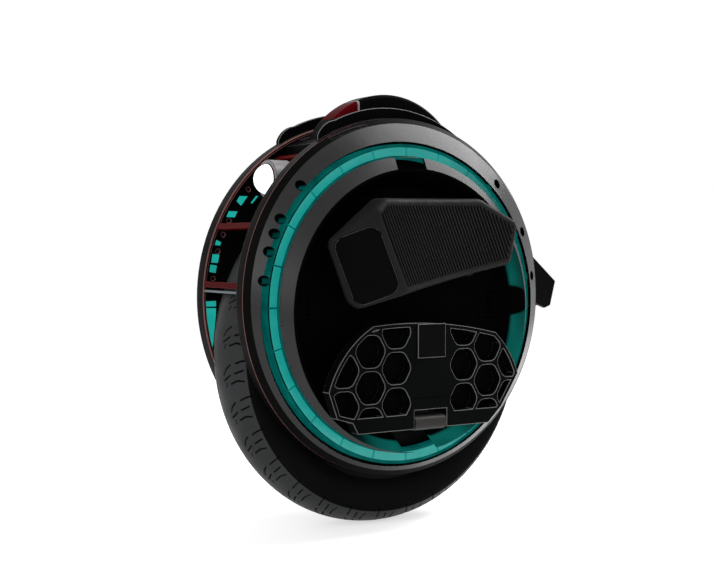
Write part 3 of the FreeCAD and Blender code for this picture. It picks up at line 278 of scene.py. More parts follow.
@dataclass(frozen=True)
class PaintedRedLightBand(Finish):
    """Dark paint with a band of painted red light across the piece, and a painted highlight line where the
    band starts.
    """

    # Colour of the painted red light.
    other: Colour = (0.0, 0.0, 0.0)
    # Colour of the painted highlight line.
    pale: Colour = (0.25, 0.24, 0.24)
    start: float = 0.0
    end: float = 0.1
    line: float = 0.0012
    part_soft: float = 0.0004
    line_soft: float = 0.0003

    def paint(self, tree: Tree) -> None:
        """Dark paint, the painted red light, and the painted highlight line between them.

        Args:
            tree: The tree to work on.
        """
        place = tree.along("X")
        share = tree.band(place, self.start, self.end, self.part_soft)
        parts = tree.blend(share, self.drifting(tree, self.colour), self.drifting(tree, self.other))
        edge = tree.band(place, self.start - self.line, self.start + self.line, self.line_soft)
        tree.set(Base_Color=tree.blend(edge, parts, self.pale))


@dataclass(frozen=True)
class ClearCover(Finish):
    """Smoky plastic that is clear in a band over the lights."""

    veil: float = 0.0
    centre: Place = (0.005, 0.0, 0.2716)
    band: Span = (0.1755, 0.1936)
    soft: float = 0.0005

    def paint(self, tree: Tree) -> None:
        """Tint, and how much of what is behind shows."""
        window = tree.band(tree.reach(self.centre, ACROSS_Y), *self.band, self.soft)
        tree.set(Base_Color=self.drifting(tree, self.colour),
                 Alpha=tree.ranged(window, 1.0, self.veil, 0.0, 1.0))


@dataclass(frozen=True)
class Glow(Finish):
    """A lit plastic, uneven from lamp to lamp."""

    strength: float = 1.0
    pale: Colour = (1.0, 1.0, 1.0)
    unlit: float = 0.12
    lamp_scale: float = 45.0

    def paint(self, tree: Tree) -> None:
        """Light that varies along the piece.

        Args:
            tree: The tree to work on.
        """
        share = tree.ranged(tree.noise(self.lamp_scale, 2.0), 0.0, 1.0)
        light = tree.blend(share, self.colour, self.pale)
        tree.set(Base_Color=(*scaled(self.colour, self.unlit), 1.0), Emission_Color=light,
                 Emission_Strength=self.strength)


@dataclass(frozen=True)
class RingGlow(Glow):
    """Ring lamps that fade towards the machine's rear."""

    bright: float = -0.05
    dark: float = -0.15
    low: float = 0.22

    def paint(self, tree: Tree) -> None:
        """Light that varies along the ring.

        Args:
            tree: The tree to work on.
        """
        super().paint(tree)
        share = tree.ranged(tree.along("X"), self.low, 1.0, self.dark, self.bright)
        tree.set(Emission_Strength=tree.sum("MULTIPLY", share, self.strength))


@dataclass(frozen=True)
class Lens(Finish):
    """A lit lamp glass with a dark red rim; the rim's red is painted red light."""

    # Painted red light: the rim's dark red.
    bezel: Colour = (0.07, 0.004, 0.006)
    rim: float = 0.1523
    soft: float = 0.0005
    strength: float = 1.2

    def paint(self, tree: Tree) -> None:
        """Lit dome, and the rim in painted red light."""
        share = tree.ranged(tree.along("X"), 0.0, 1.0, self.rim, self.rim + self.soft)
        tree.set(Base_Color=tree.blend(share, self.bezel, self.colour),
                 Emission_Color=(*self.colour, 1.0),
                 Emission_Strength=tree.sum("MULTIPLY", share, self.strength))


@dataclass(frozen=True)
class PaintedGlowWall(Finish):
    """Dark plastic with a painted teal glow on its outer wall, standing in for light from the lamps behind
    it, and a painted round shadow.
    """

    light: Colour = (0.002, 0.080, 0.068)
    inner: float = 0.1562
    soft: float = 0.0012
    painted_shade_place: Place = (-0.152, 0.0, 0.2734)
    painted_shade_radius: float = 0.0
    centre: Place = LIP_CENTRE
    outside: bool = True
    painted_glow_side: Place = (-0.7, 0.0, -0.7)
    painted_glow_side_span: Span = (0.03, 0.09)
    patch_scale: float = 16.0
    patch_light: Span = (0.45, 1.3)
    patch_span: Span = (0.38, 0.62)

    def paint(self, tree: Tree) -> None:
        """Plain plastic and a wall with painted glow.

        Args:
            tree: The tree to work on.
        """
        away = tree.reach(self.centre, ACROSS_Y)
        ends = (0.0, 1.0) if self.outside else (1.0, 0.0)
        share = tree.ranged(away, *ends, self.inner - self.soft, self.inner + self.soft)
        patch = tree.ranged(tree.noise(self.patch_scale, 1.0), *self.patch_light, *self.patch_span)
        # Painted shadow: the glow is taken away inside a round patch.
        if self.painted_shade_radius:
            far = tree.reach(self.painted_shade_place, ACROSS_Y)
            bright = tree.ranged(far, 0.0, 1.0, self.painted_shade_radius - self.soft,
                                 self.painted_shade_radius + self.soft)
            patch = tree.sum("MULTIPLY", patch, bright)
        # The glow is kept to one side, where light would fall on the wall.
        if any(self.painted_glow_side):
            back = tuple(-place for place in self.centre)
            moved = tree.add("Mapping", Vector=tree.place, Location=back)
            slope = tree.add("VectorMath", Vector=moved.outputs["Vector"])
            slope.operation = "DOT_PRODUCT"
            tree.feed(slope, 1, self.painted_glow_side)
            painted_glow_side_share = tree.ranged(slope.outputs["Value"], 0.0, 1.0, *self.painted_glow_side_span)
            share = tree.sum("MULTIPLY", share, painted_glow_side_share)
        # Painted light: the wall glows teal though it is no lamp.
        tree.set(Base_Color=self.drifting(tree, self.colour), Emission_Color=(*self.light, 1.0),
                 Emission_Strength=tree.sum("MULTIPLY", share, patch))


class Finishes:
    """Every finish on the machine."""

    # The tread's cuts take painted shade.
    CROWN = GrooveShadedRubber("tread_rubber", (0.021, 0.022, 0.023), 0.5, Grain.RUBBER, drift=0.2, relief=0.3,
                      specular=0.18)
    WALL = Finish("sidewall_rubber", (0.0028, 0.0029, 0.003), 0.55, Grain.RUBBER, drift=0.2, specular=0.02)
    SHELL = Finish("shell_plastic", (0.0024, 0.0022, 0.0022), 0.42, specular=0.022)
    # Recess panel: painted teal glow on its wall, with a painted round shadow.
    PANEL = PaintedGlowWall("panel_plastic", (0.0008, 0.0008, 0.0009), 0.55, painted_shade_radius=0.019, specular=0.008)
    CASE = Finish("case_plastic", (0.0025, 0.0025, 0.0027), 0.5, specular=0.02)
    GLOSS = Finish("gloss_plastic", (0.003, 0.003, 0.0034), 0.16, Grain.GLASSY, specular=0.06)
    WING = Finish("wing_plastic", (0.0016, 0.0016, 0.0017), 0.36, specular=0.007)
    # The handle's red front is painted red light, and its pale line a painted highlight.
    HANDLE = PaintedRedLightBand("handle_paint_and_red_light", (0.0026, 0.0026, 0.0028), 0.34, other=(0.075, 0.0012, 0.003),
                      start=0.034, end=0.068, specular=0.005)
    # The bars' dark red is painted red light, and their paler red bevels a painted highlight.
    RED_LIT_BARS = Finish("bars_painted_red_light", (0.075, 0.0018, 0.0026), 0.4, specular=0.02)
    # Pale finishes for bevelled edges: painted highlights along the edges.
    HIGHLIGHT_EDGE = Finish("painted_edge_highlight", (0.13, 0.126, 0.125), 0.4, specular=0.2)
    DIM_HIGHLIGHT_EDGE = Finish("painted_dim_edge_highlight", (0.045, 0.044, 0.044), 0.4, specular=0.1)
    BAR_HIGHLIGHT = Finish("bar_edge", (0.11, 0.004, 0.006), 0.4, specular=0.03)
    # Pale red for the shells' edges: a painted highlight in red light.
    RED_HIGHLIGHT = Finish("painted_red_highlight", (0.20, 0.085, 0.080), 0.4, specular=0.1)
    CLEAR = ClearCover("smoky_clear", (0.004, 0.004, 0.0044), 0.28, Grain.GLASSY, relief=0.05,
                       specular=0.32)
    CHANNEL = Glow("channel_glow", (0.0, 0.055, 0.049), 0.4, strength=1.0, pale=(0.0, 0.11, 0.098),
                   specular=0.03)
    LIGHT = RingGlow("led_light", (0.02, 0.70, 0.62), 0.3, strength=0.31, pale=(0.04, 0.80, 0.72),
                     specular=0.3)
    WINDOW = Glow("window_light", (0.010, 0.30, 0.26), 0.4, strength=1.0, pale=(0.014, 0.38, 0.33),
                  specular=0.03)
    # Screw wells: painted teal glow on their inner side.
    WELL = PaintedGlowWall("screw_well", (0.0008, 0.0008, 0.0009), 0.5, light=(0.0, 0.07, 0.062), inner=0.1918,
                   centre=RING_CENTRE, outside=False, painted_glow_side=(0.0, 0.0, 0.0), specular=0.02)
    LIP = Finish("lip_alloy", (0.16, 0.19, 0.20), 0.4, Grain.BRUSHED, drift=0.15, specular=0.2)
    LAMP = Lens("lamp_glass", (0.95, 0.96, 1.0), 0.2, specular=0.2)
    LAMP_CASE = Finish("lamp_alloy", (0.22, 0.21, 0.21), 0.42, Grain.BRUSHED, drift=0.15, specular=0.3)
    TAIL = Finish("tail_glass", (0.06, 0.064, 0.068), 0.25, Grain.GLASSY, drift=0.15, specular=0.2)
    FOAM = Finish("foam_skin", (0.0130, 0.0126, 0.0125), 0.5, Grain.SANDED, relief=0.2, specular=0.042)
    # The ribs' marked grooves take painted shade.
    RIBS = GrooveShadedRubber("rib_rubber", (0.021, 0.021, 0.0212), 0.38, Grain.RUBBER, relief=0.1, specular=0.03)
    CAP = Finish("cap_plastic", (0.0018, 0.0018, 0.002), 0.42, specular=0.015)
    PEDAL = Finish("pedal_metal", (0.0020, 0.0025, 0.0026), 0.42, specular=0.015)
    GRIP = Finish("grip_tape", (0.002, 0.002, 0.0022), 0.85, Grain.SANDED, relief=0.8, specular=0.02)
    RUBBER = Finish("soft_rubber", (0.0022, 0.0022, 0.0024), 0.6, Grain.RUBBER, specular=0.02)
    STEEL = Finish("plated_steel", (0.30, 0.30, 0.31), 0.36, Grain.BRUSHED, metallic=1.0, drift=0.12,
                   specular=0.5)
    BARREL = Finish("hinge_steel", (0.045, 0.040, 0.038), 0.38, Grain.BRUSHED, metallic=0.3, drift=0.15)
    HANGER = Finish("hanger_alloy", (0.030, 0.028, 0.027), 0.4, specular=0.08)
    BLACKED = Finish("blacked_steel", (0.002, 0.002, 0.0022), 0.4, specular=0.03)
    ALLOY = Finish("cast_alloy", (0.10, 0.103, 0.106), 0.42, metallic=0.7, drift=0.15, specular=0.4)
    COPPER = Finish("varnished_wire", (0.45, 0.20, 0.10), 0.35, Grain.BRUSHED, metallic=0.8)
    BOARD = Finish("board_case", (0.02, 0.022, 0.021), 0.5)


class Bench:
    """Shared ways to make, finish and place pieces."""

    SAME_CORNER = 0.00005
    NODE_CORNER = 0.00002
    SAME_WAY = 0.9
    EDGE_STEPS = 2
    EDGE_ANGLE = math.radians(32)

    @staticmethod
    def select(*pieces: Piece) -> None:
        """Selects only these objects and makes the first active.

        Args:
            pieces: The objects.
        """
        bpy.ops.object.select_all(action="DESELECT")
        for piece in pieces:
            piece.select_set(True)
        bpy.context.view_layer.objects.active = pieces[0] if pieces else None

    @staticmethod
    def named(name: str) -> Piece:
        """Names the active object and its mesh.

        Args:
            name: The piece's name.

        Returns:
            The object.
        """
        piece = bpy.context.object
        piece.name = name
        piece.data.name = name
        return piece

    @staticmethod
    def settle(piece: Piece) -> None:
        """Moves a piece's place into its mesh."""
        Bench.select(piece)
        bpy.ops.object.transform_apply(location=True, rotation=True, scale=True)

    @staticmethod
    def apply(piece: Piece, kind: str, **values: object) -> None:
        """Adds a modifier and applies it.

        Args:
            piece: The piece to change.
            kind: The modifier's type.
            values: The modifier's settings.
        """
        modifier = piece.modifiers.new(kind.lower(), kind)
        for name, value in values.items():
            setattr(modifier, name, value)
        Bench.select(piece)
        bpy.ops.object.modifier_apply(modifier=modifier.name)

    @staticmethod
    def copy(piece: Piece, name: str) -> Piece:
        """A copy with its own mesh.

        Args:
            piece: The piece to copy.
            name: The copy's name.

        Returns:
            The copy.
        """
        twin = bpy.data.objects.new(name, piece.data.copy())
        bpy.context.scene.collection.objects.link(twin)
        twin.data.name = name
        return twin

    @staticmethod
    def merged(node: str, name: str) -> Piece:
        """A copy of a CAD node with its corners joined.

        Args:
            node: The node's name.
            name: The copy's name.

        Returns:
            The copy.
        """
        piece = Bench.copy(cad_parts[node], name)
        with Bench.editing(piece):
            bpy.ops.mesh.remove_doubles(threshold=Bench.SAME_CORNER)
        return piece

    @staticmethod
    def mirrored(piece: Piece, name: str) -> Piece:
        """A copy on the machine's other side.

        Args:
            piece: The piece to mirror.
            name: The copy's name.

        Returns:
            The copy.
        """
        twin = Bench.copy(piece, name)
        for vertex in twin.data.vertices:
            vertex.co.y = -vertex.co.y
        twin.data.flip_normals()
        return twin

    @staticmethod
    def outward(piece: Piece) -> None:
        """Turns a closed piece's faces outwards."""
        with Bench.editing(piece):
            bpy.ops.mesh.normals_make_consistent(inside=False)

    @staticmethod
    @contextmanager
    def editing(piece: Piece, chosen: Sequence[int] | None = None) -> Iterator[None]:
        """Keeps a piece in edit mode, with all or some of its faces selected.

        Args:
            piece: The piece.
            chosen: The faces' numbers, or None for all of them.

        Returns:
            The context to edit in.
        """
        Bench.select(piece)
        bpy.context.tool_settings.mesh_select_mode = (False, False, True)
        bpy.ops.object.mode_set(mode="EDIT")
        bpy.ops.mesh.select_all(action="SELECT" if chosen is None else "DESELECT")
        bpy.ops.object.mode_set(mode="OBJECT")
        for number in chosen or ():
            piece.data.polygons[number].select = True
        bpy.ops.object.mode_set(mode="EDIT")
        yield
        bpy.ops.object.mode_set(mode="OBJECT")

    @staticmethod
    def facing(piece: Piece, way: Sequence[float]) -> list[int]:
        """Numbers of the faces that look along a direction."""
        return [face.index for face in piece.data.polygons if face.normal.dot(Vector(way)) > Bench.SAME_WAY]

    @staticmethod
    def dress(piece: Piece, finish: Finish) -> None:
        """Gives a piece one finish all over.

        Args:
            piece: The piece.
            finish: The finish.
        """
        piece.data.materials.clear()
        piece.data.materials.append(finish.material())
        for face in piece.data.polygons:
            face.material_index = 0

    @staticmethod
    def split(piece: Piece, second: Finish, chosen: Callable[[Face], bool]) -> None:
        """Gives some faces of a dressed piece a second finish.

        Args:
            piece: The piece.
            second: The other finish.
            chosen: Whether a face takes it.
        """
        piece.data.materials.append(second.material())
        for face in piece.data.polygons:
            face.material_index = 1 if chosen(face) else 0

    @staticmethod
    def dress_nodes(finish: Finish, *names: str) -> None:
        """Gives CAD nodes a finish.

        Args:
            finish: The finish.
            names: The nodes' names.
        """
        for name in names:
            Bench.dress(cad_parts[name], finish)
            LOG.info("dressed %s with %s", name, finish.name)

    @staticmethod
    def dress_sides(**finishes: Finish) -> None:
        """Gives the left and the right CAD node of each kind a finish."""
        for kind, finish in finishes.items():
            Bench.dress_nodes(finish, *(f"{kind}_{side}" for side in SIDES))

    @staticmethod
    def ease(width: float, edge: Finish, *names: str) -> None:
        """Breaks the sharp edges of dressed CAD nodes with a live bevel.

        Args:
            width: The bevel's width in metres.
            edge: The finish of the bevels, paler than the piece: a painted highlight along the edges.
            names: The nodes' names.
        """
        for name in names:
            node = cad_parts[name]
            node.data.materials.append(edge.material())
            weld = node.modifiers.new("weld", "WELD")
            weld.merge_threshold = Bench.NODE_CORNER
            bevel = node.modifiers.new("bevel", "BEVEL")
            bevel.width = width
            bevel.segments = Bench.EDGE_STEPS
            bevel.limit_method = "ANGLE"
            bevel.angle_limit = Bench.EDGE_ANGLE
            bevel.use_clamp_overlap = False
            bevel.material = len(node.data.materials) - 1
            normals = node.modifiers.new("normals", "WEIGHTED_NORMAL")
            normals.keep_sharp = True

    @staticmethod
    def deliver(piece: Piece, body: Body, finish: Finish, slot: str, angle: float = 35.0) -> Piece:
        """Smooths, dresses and places a finished piece.

        Args:
            piece: The piece, in place.
            body: The body that it rides on.
            finish: Its finish.
            slot: The record's material slot; not used.
            angle: Edges sharper than this, in degrees, stay sharp.

        Returns:
            The piece.
        """
        Bench.settle(piece)
        bpy.ops.object.shade_smooth_by_angle(angle=math.radians(angle))
        Bench.dress(piece, finish)
        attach(piece, body.value)
        LOG.info("piece %s, %d faces", piece.name, len(piece.data.polygons))
        return piece


@dataclass
class Wheel:
    """The tyre with its tread, and the hub motor's parts."""

    radius: float = 0.216
    half_width: float = 0.036
    crown_drop: float = 0.017
    sidewall_radius: float = 0.062
    foot_radius: float = 0.160
    foot_side: float = 0.02895
    pitches: int = 30
    steps_along: int = 20
    steps_across: int = 40
    steps_wall: int = 6
    fine_cuts: int = 2
    fine_reach: float = 0.0025
    cut_depth: float = 0.0024
    cut_half: float = 0.0013
    tread_start: float = 0.0049
    same_corner: float = 0.0001
    wall_margin: float = 0.0003
    sharp: float = 42.0
    cut_lines: tuple[tuple[Span, ...], ...] = (
        ((0.0, -0.0025), (0.0014, 0.006), (0.0037, 0.0127)),
        ((0.0059, 0.0207), (0.0116, 0.0276), (0.0178, 0.0310)),
        ((0.0128, 0.0043), (0.0161, 0.0152)),
        ((0.0181, 0.0214), (0.0247, 0.0312)),
        ((0.0261, 0.0045), (0.0249, 0.0124), (0.0285, 0.0213)),
        ((0.0279, 0.0275), (0.0285, 0.0277)),
        ((0.0309, 0.0282), (0.0315, 0.0284)))

    def build(self) -> None:
        """Makes the tyre and dresses the rest of the wheel."""
        self.tyre()
        Bench.dress_nodes(Finishes.BLACKED, "rim")
        Bench.dress_sides(motor_cover=Finishes.ALLOY, hub_bearing=Finishes.STEEL)
        Bench.dress_nodes(Finishes.STEEL, "rotor_magnets", "cover_bolts", "axle", "axle_nuts",
                          "stator_core")
        Bench.dress_nodes(Finishes.COPPER, "stator_windings")
        Bench.dress_nodes(Finishes.RUBBER, "valve_stem")

    def crown(self) -> tuple[float, float]:
        """The crown arc's radius and half length."""
        radius = (self.half_width ** 2 + self.crown_drop ** 2) / (2 * self.crown_drop)
        return radius, radius * math.asin(self.half_width / radius)

    def section(self, across: float) -> tuple[float, float, float, float, float]:
        """A point of the tyre's outer section.

        Args:
            across: Steps from the crown's middle, positive to the left.

        Returns:
            Radius, side, the outward direction's two parts, and the distance from the crown's middle.
        """
        radius, half = self.crown()
        share = across / (self.steps_across / 2)
        if abs(share) <= 1:
            turn = share * half / radius
            middle = self.radius - radius
            return (middle + radius * math.cos(turn), radius * math.sin(turn),
                    math.cos(turn), math.sin(turn), share * half)
        side = math.copysign(1, share)
        wall = (abs(across) - self.steps_across / 2) / self.steps_wall
        top = Vector((self.radius - self.crown_drop, self.half_width))
        foot = Vector((self.foot_radius, self.foot_side))
        run = foot - top
        out = Vector((run.y, -run.x)).normalized()
        centre = top + run / 2 - out * math.sqrt(self.sidewall_radius ** 2 - (run.length / 2) ** 2)
        first = math.atan2(top.y - centre.y, top.x - centre.x)
        last = math.atan2(foot.y - centre.y, foot.x - centre.x)
        turn = first + (last - first) * wall
        point = centre + Vector((math.cos(turn), math.sin(turn))) * self.sidewall_radius
        return (point.x, side * point.y, math.cos(turn), side * math.sin(turn),
                side * (half + wall * run.length))

    def nearest_cut(self, along: float, across: float) -> float:
        """Distance to the nearest of the tread's cuts.

        Args:
            along: Distance along the pitch in metres.
            across: Distance from the crown's middle in metres.

        Returns:
            The distance in metres.
        """
        pitch = 2 * math.pi * self.radius / self.pitches
        inward = self.crown()[1] - abs(across)
        place = along - self.tread_start + (0.0 if across > 0 else pitch / 2)
        nearest = pitch
        for line in self.cut_lines:
            for start, end in zip(line, line[1:]):
                run = Vector(end) - Vector(start)
                offset = (place - (start[0] + end[0]) / 2 + pitch / 2) % pitch - pitch / 2
                point = Vector((offset + run.x / 2, inward - start[1]))
                share = max(0.0, min(1.0, point.dot(run) / run.length_squared))
                nearest = min(nearest, (point - run * share).length)
        return nearest

    def unrolled(self, flat: Vector) -> tuple[float, float]:
        """Share of the pitch, and steps from the crown's middle, of a point of the flat grid."""
        return (flat.x + 1) / 2, flat.y * (self.steps_across / 2 + self.steps_wall)

    def refine(self, piece: Piece) -> None:
        """Divides the flat grid's faces near the cuts.

        Args:
            piece: The flat grid.
        """
        pitch = 2 * math.pi * self.radius / self.pitches
        chosen = []
        for face in piece.data.polygons:
            share, steps = self.unrolled(face.center)
            across = self.section(steps)[4]
            at_end = min(share, 1 - share) < 1 / self.steps_along
            places = (share * pitch, (1 - share) * pitch) if at_end else (share * pitch,)
            if min(self.nearest_cut(place, across) for place in places) < self.fine_reach:
                chosen.append(face.index)
        with Bench.editing(piece, chosen):
            bpy.ops.mesh.subdivide(number_cuts=self.fine_cuts)

    def roll(self, piece: Piece) -> None:
        """Rolls the flat grid onto the tyre, sinks its cuts and marks them for painted shade.

        Args:
            piece: The flat grid.
        """
        angle = 2 * math.pi / self.pitches
        marks = piece.data.attributes.new("shaded_cut", "FLOAT", "POINT")
        for vertex in piece.data.vertices:
            share, steps = self.unrolled(vertex.co)
            radius, side, outward, sideways, across = self.section(steps)
            near = max(0.0, 1 - self.nearest_cut(share * angle * self.radius, across) / self.cut_half)
            shaded_cut = near * near * (3 - 2 * near)
            # The mark darkens the cuts with painted shade.
            marks.data[vertex.index].value = shaded_cut
            reach = radius - outward * shaded_cut * self.cut_depth
            turn = share * angle
            vertex.co = (reach * math.cos(turn), side - sideways * shaded_cut * self.cut_depth,
                         AXLE_CENTRE[2] - reach * math.sin(turn))

    def tyre(self) -> None:
        """Models one pitch of the tyre, and spins it round the axle."""
        bpy.ops.mesh.primitive_grid_add(x_subdivisions=self.steps_along, size=2,
                                        y_subdivisions=self.steps_across + 2 * self.steps_wall)
        piece = Bench.named("tyre_tread")
        self.refine(piece)
        self.roll(piece)
        with Bench.editing(piece):
            bpy.ops.mesh.spin(steps=self.pitches, dupli=True, angle=2 * math.pi, center=AXLE_CENTRE,
                              axis=(0, 1, 0))
            bpy.ops.mesh.select_all(action="SELECT")
            bpy.ops.mesh.remove_doubles(threshold=self.same_corner)
            bpy.context.tool_settings.mesh_select_mode = (False, True, False)
            bpy.ops.mesh.select_all(action="DESELECT")
            bpy.ops.mesh.select_non_manifold()
            bpy.ops.mesh.bridge_edge_loops()
        Bench.outward(piece)
        Bench.deliver(piece, Body.WHEEL, Finishes.CROWN, "tyre", self.sharp)
        wall_top = self.radius - self.crown_drop - self.wall_margin
        Bench.split(piece, Finishes.WALL,
                    lambda face: math.hypot(face.center.x, face.center.z - AXLE_CENTRE[2]) < wall_top)
        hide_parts("tyre")


@dataclass
class SideRings:
    """The lit rings, shells and recessed panels of both sides."""

    hole_circle: float = 0.1965
    hole_angles: tuple[float, ...] = (6.7, 16.4, 22.6, 28.0, 41.6, 134.8, 156.0, 173.0)
    well_radius: float = 0.0061
    well_wall: float = 0.0007
    well_floor: float = 0.0582
    cone_sides: Span = (0.0647, 0.0915)
    cone_radii: Span = (0.2082, 0.1685)
    cone_drop: float = 0.015
    cone_search: Span = (-0.2, 1.2)
    cone_halvings: int = 40
    rim_sink: float = 0.0001
    well_corners: int = 28
    shell_edge: float = 0.0014
    outer_wall: float = 0.5
    bevel_side: float = 0.058
    bevel_radius: float = 0.21495
    bevel_fall: float = 0.985
    slot_thick: float = 0.0006
    slot_border: float = 0.0006
    slot_sink: float = 0.7
    slot_stations: tuple[Place, ...] = (
        (61.2, 0.0595, 0.0624), (65.0, 0.0601, 0.0637), (69.0, 0.0602, 0.0643), (73.0, 0.0609, 0.0645),
        (75.7, 0.0614, 0.0643))
    window_face: float = 0.05375
    window_thick: float = 0.0005
    window_edge: float = 0.25
    windows: tuple[tuple[Span, ...], ...] = (
        ((0.1591, 0.4019), (0.1481, 0.4019), (0.1573, 0.3902), (0.1632, 0.3957)),
        ((0.1738, 0.3835), (0.1621, 0.3833), (0.1659, 0.3760), (0.1772, 0.3765)),
        ((0.1364, 0.4028), (0.1337, 0.4022), (0.1417, 0.3934), (0.1442, 0.3938)),
        ((0.1907, 0.3489), (0.1842, 0.3459), (0.1861, 0.3420), (0.1926, 0.3427)),
        ((0.1958, 0.3320), (0.1868, 0.3312), (0.1888, 0.3212), (0.1977, 0.3217)),
        ((0.1987, 0.3194), (0.1901, 0.3180), (0.1920, 0.3092), (0.2002, 0.3106)),
        ((0.2051, 0.2754), (0.1917, 0.2758), (0.1914, 0.2692), (0.2048, 0.2692)),
        ((0.2047, 0.2676), (0.1915, 0.2670), (0.1918, 0.2582), (0.2033, 0.2533)),
        ((0.2033, 0.2533), (0.1918, 0.2582), (0.1960, 0.2212), (0.1974, 0.2213)))

    def build(self) -> None:
        """Makes the small lit pieces and dresses both sides."""
        self.screw_wells()
        self.lit_windows()
        self.slots()
        Bench.dress_nodes(Finishes.BLACKED, "ring_screws")
        Bench.dress_sides(shell=Finishes.SHELL, ring_cover=Finishes.CLEAR, led_channel=Finishes.CHANNEL,
                          led_strip=Finishes.LIGHT, side_panel=Finishes.PANEL, battery=Finishes.CASE,
                          side_frame=Finishes.ALLOY)
        for side in SIDES:
            Bench.split(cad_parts[f"ring_cover_{side}"], Finishes.SHELL, self.at_bevel)
            Bench.split(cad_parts[f"led_strip_{side}"], Finishes.BLACKED, self.at_outer_wall)
            # The shells' bevelled edges take a pale red, a painted highlight.
            Bench.ease(self.shell_edge, Finishes.RED_HIGHLIGHT, f"shell_{side}")

    def at_bevel(self, face: Face) -> bool:
        """Whether a ring cover's face is on its outer bevel, which is dark."""
        return abs(face.center.y) < self.cone_sides[0]

    def at_outer_wall(self, face: Face) -> bool:
        """Whether a light strip's face is on its outer wall, which is dark."""
        outward = (face.center - Vector(RING_CENTRE)) * Vector(ACROSS_Y)
        return face.normal.dot(outward.normalized()) > self.outer_wall

    def cone_side(self, x: float, z: float) -> float:
        """How far out the ring's cone stands at a place.

        Args:
            x: Place along the machine.
            z: Height.

        Returns:
            The cone's side coordinate.
        """
        low, high = self.cone_search
        for _ in range(self.cone_halvings):
            share = (low + high) / 2
            reach = math.hypot(x, z - RING_CENTRE[2] + self.cone_drop * share)
            if reach > self.cone_radii[0] + (self.cone_radii[1] - self.cone_radii[0]) * share:
                high = share
            else:
                low = share
        return self.cone_sides[0] + (self.cone_sides[1] - self.cone_sides[0]) * low

    def screw_wells(self) -> None:
        """Dark cups round the screws, from the shell up to the cover's face."""
        depth = self.cone_sides[1] - self.well_floor
        bpy.ops.mesh.primitive_cylinder_add(vertices=self.well_corners, radius=self.well_radius,
                                            depth=depth, location=(0, self.well_floor + depth / 2, 0),
                                            rotation=(-math.pi / 2, 0, 0))
        cup = Bench.named("screw_well")
        Bench.settle(cup)
        with Bench.editing(cup, Bench.facing(cup, (0, 1, 0))):
            bpy.ops.mesh.inset(thickness=self.well_wall)
            bpy.ops.mesh.extrude_region_move(
                TRANSFORM_OT_translate={"value": (0, self.well_wall - depth, 0)})
        cups = [self.well(cup, math.radians(angle)) for angle in self.hole_angles]
        bpy.data.objects.remove(cup)
        Bench.select(*cups)
        bpy.ops.object.join()
        left = Bench.named("screw_wells_left")
        right = Bench.mirrored(left, "screw_wells_right")
        for piece in (left, right):
            Bench.deliver(piece, Body.FRAME, Finishes.WELL, "matte_black")

    def well(self, cup: Piece, angle: float) -> Piece:
        """A copy of the cup in its hole, with its rim fitted to the cone.

        Args:
            cup: The cup on the machine's cross axis.
            angle: The hole's place round the ring.

        Returns:
            The copy.
        """
        piece = Bench.copy(cup, "screw_well_copy")
        place = Vector(RING_CENTRE) + Vector((math.cos(angle), 0, math.sin(angle))) * self.hole_circle
        rim = self.cone_sides[1] - self.well_wall / 2
        for vertex in piece.data.vertices:
            at_rim = vertex.co.y > rim
            vertex.co += place
            if at_rim:
                vertex.co.y = self.cone_side(vertex.co.x, vertex.co.z) - self.rim_sink
        return piece

    def on_bevel(self, angle: float, side: float) -> Place:
        """A point on the cover's outer bevel.

        Args:
            angle: Degrees round the ring.
            side: The point's side coordinate.

        Returns:
            The point.
        """
        radius = self.bevel_radius - (side - self.bevel_side) * self.bevel_fall
        turn = math.radians(angle)
        return radius * math.cos(turn), side, RING_CENTRE[2] + radius * math.sin(turn)

    def slots(self) -> None:
        """Shallow bordered slots on the covers' outer bevels, above the lights."""
        bpy.ops.mesh.primitive_grid_add(x_subdivisions=len(self.slot_stations) - 1, y_subdivisions=1,
                                        size=1)
        left = Bench.named("cover_slot_left")
        places = [self.on_bevel(angle, low) for angle, _, low in self.slot_stations]
        places += [self.on_bevel(angle, high) for angle, high, _ in self.slot_stations]
        for vertex, place in zip(left.data.vertices, places):
            vertex.co = place
        Bench.apply(left, "SOLIDIFY", thickness=self.slot_thick, offset=0.0)
        Bench.outward(left)
        middle = math.radians(self.slot_stations[2][0])
        outward = Vector((math.cos(middle), self.bevel_fall, math.sin(middle))).normalized()
        with Bench.editing(left, Bench.facing(left, outward)):
            bpy.ops.mesh.inset(thickness=self.slot_border)
            bpy.ops.transform.translate(value=outward * -self.slot_thick * self.slot_sink)
        floor = [face.index for face in left.data.polygons if face.select]
        right = Bench.mirrored(left, "cover_slot_right")
        for piece in (left, right):
            # The slot's border takes the pale edge finish, a painted highlight; its floor is gloss.
            Bench.deliver(piece, Body.FRAME, Finishes.DIM_HIGHLIGHT_EDGE, "gloss_black")
            Bench.split(piece, Finishes.GLOSS, lambda face: face.index in floor)

    def lit_windows(self) -> None:
        """Thin lit plates on the shells' inner faces, between the shells."""
        plates = []
        for corners in self.windows:
            bpy.ops.mesh.primitive_plane_add(size=1)
            plate = Bench.named("lit_window")
            for number, (x, z) in zip((0, 1, 3, 2), corners):
                plate.data.vertices[number].co = (x, -self.window_face, z)
            Bench.apply(plate, "SOLIDIFY", thickness=self.window_thick, offset=0.0)
            Bench.apply(plate, "BEVEL", width=self.window_thick * self.window_edge, segments=1)
            plates.append(plate)
        Bench.select(*plates)
        bpy.ops.object.join()
        right = Bench.named("lit_windows_right")
        Bench.outward(right)
        left = Bench.mirrored(right, "lit_windows_left")
        for piece in (left, right):
            Bench.deliver(piece, Body.FRAME, Finishes.WINDOW, "teal_light")


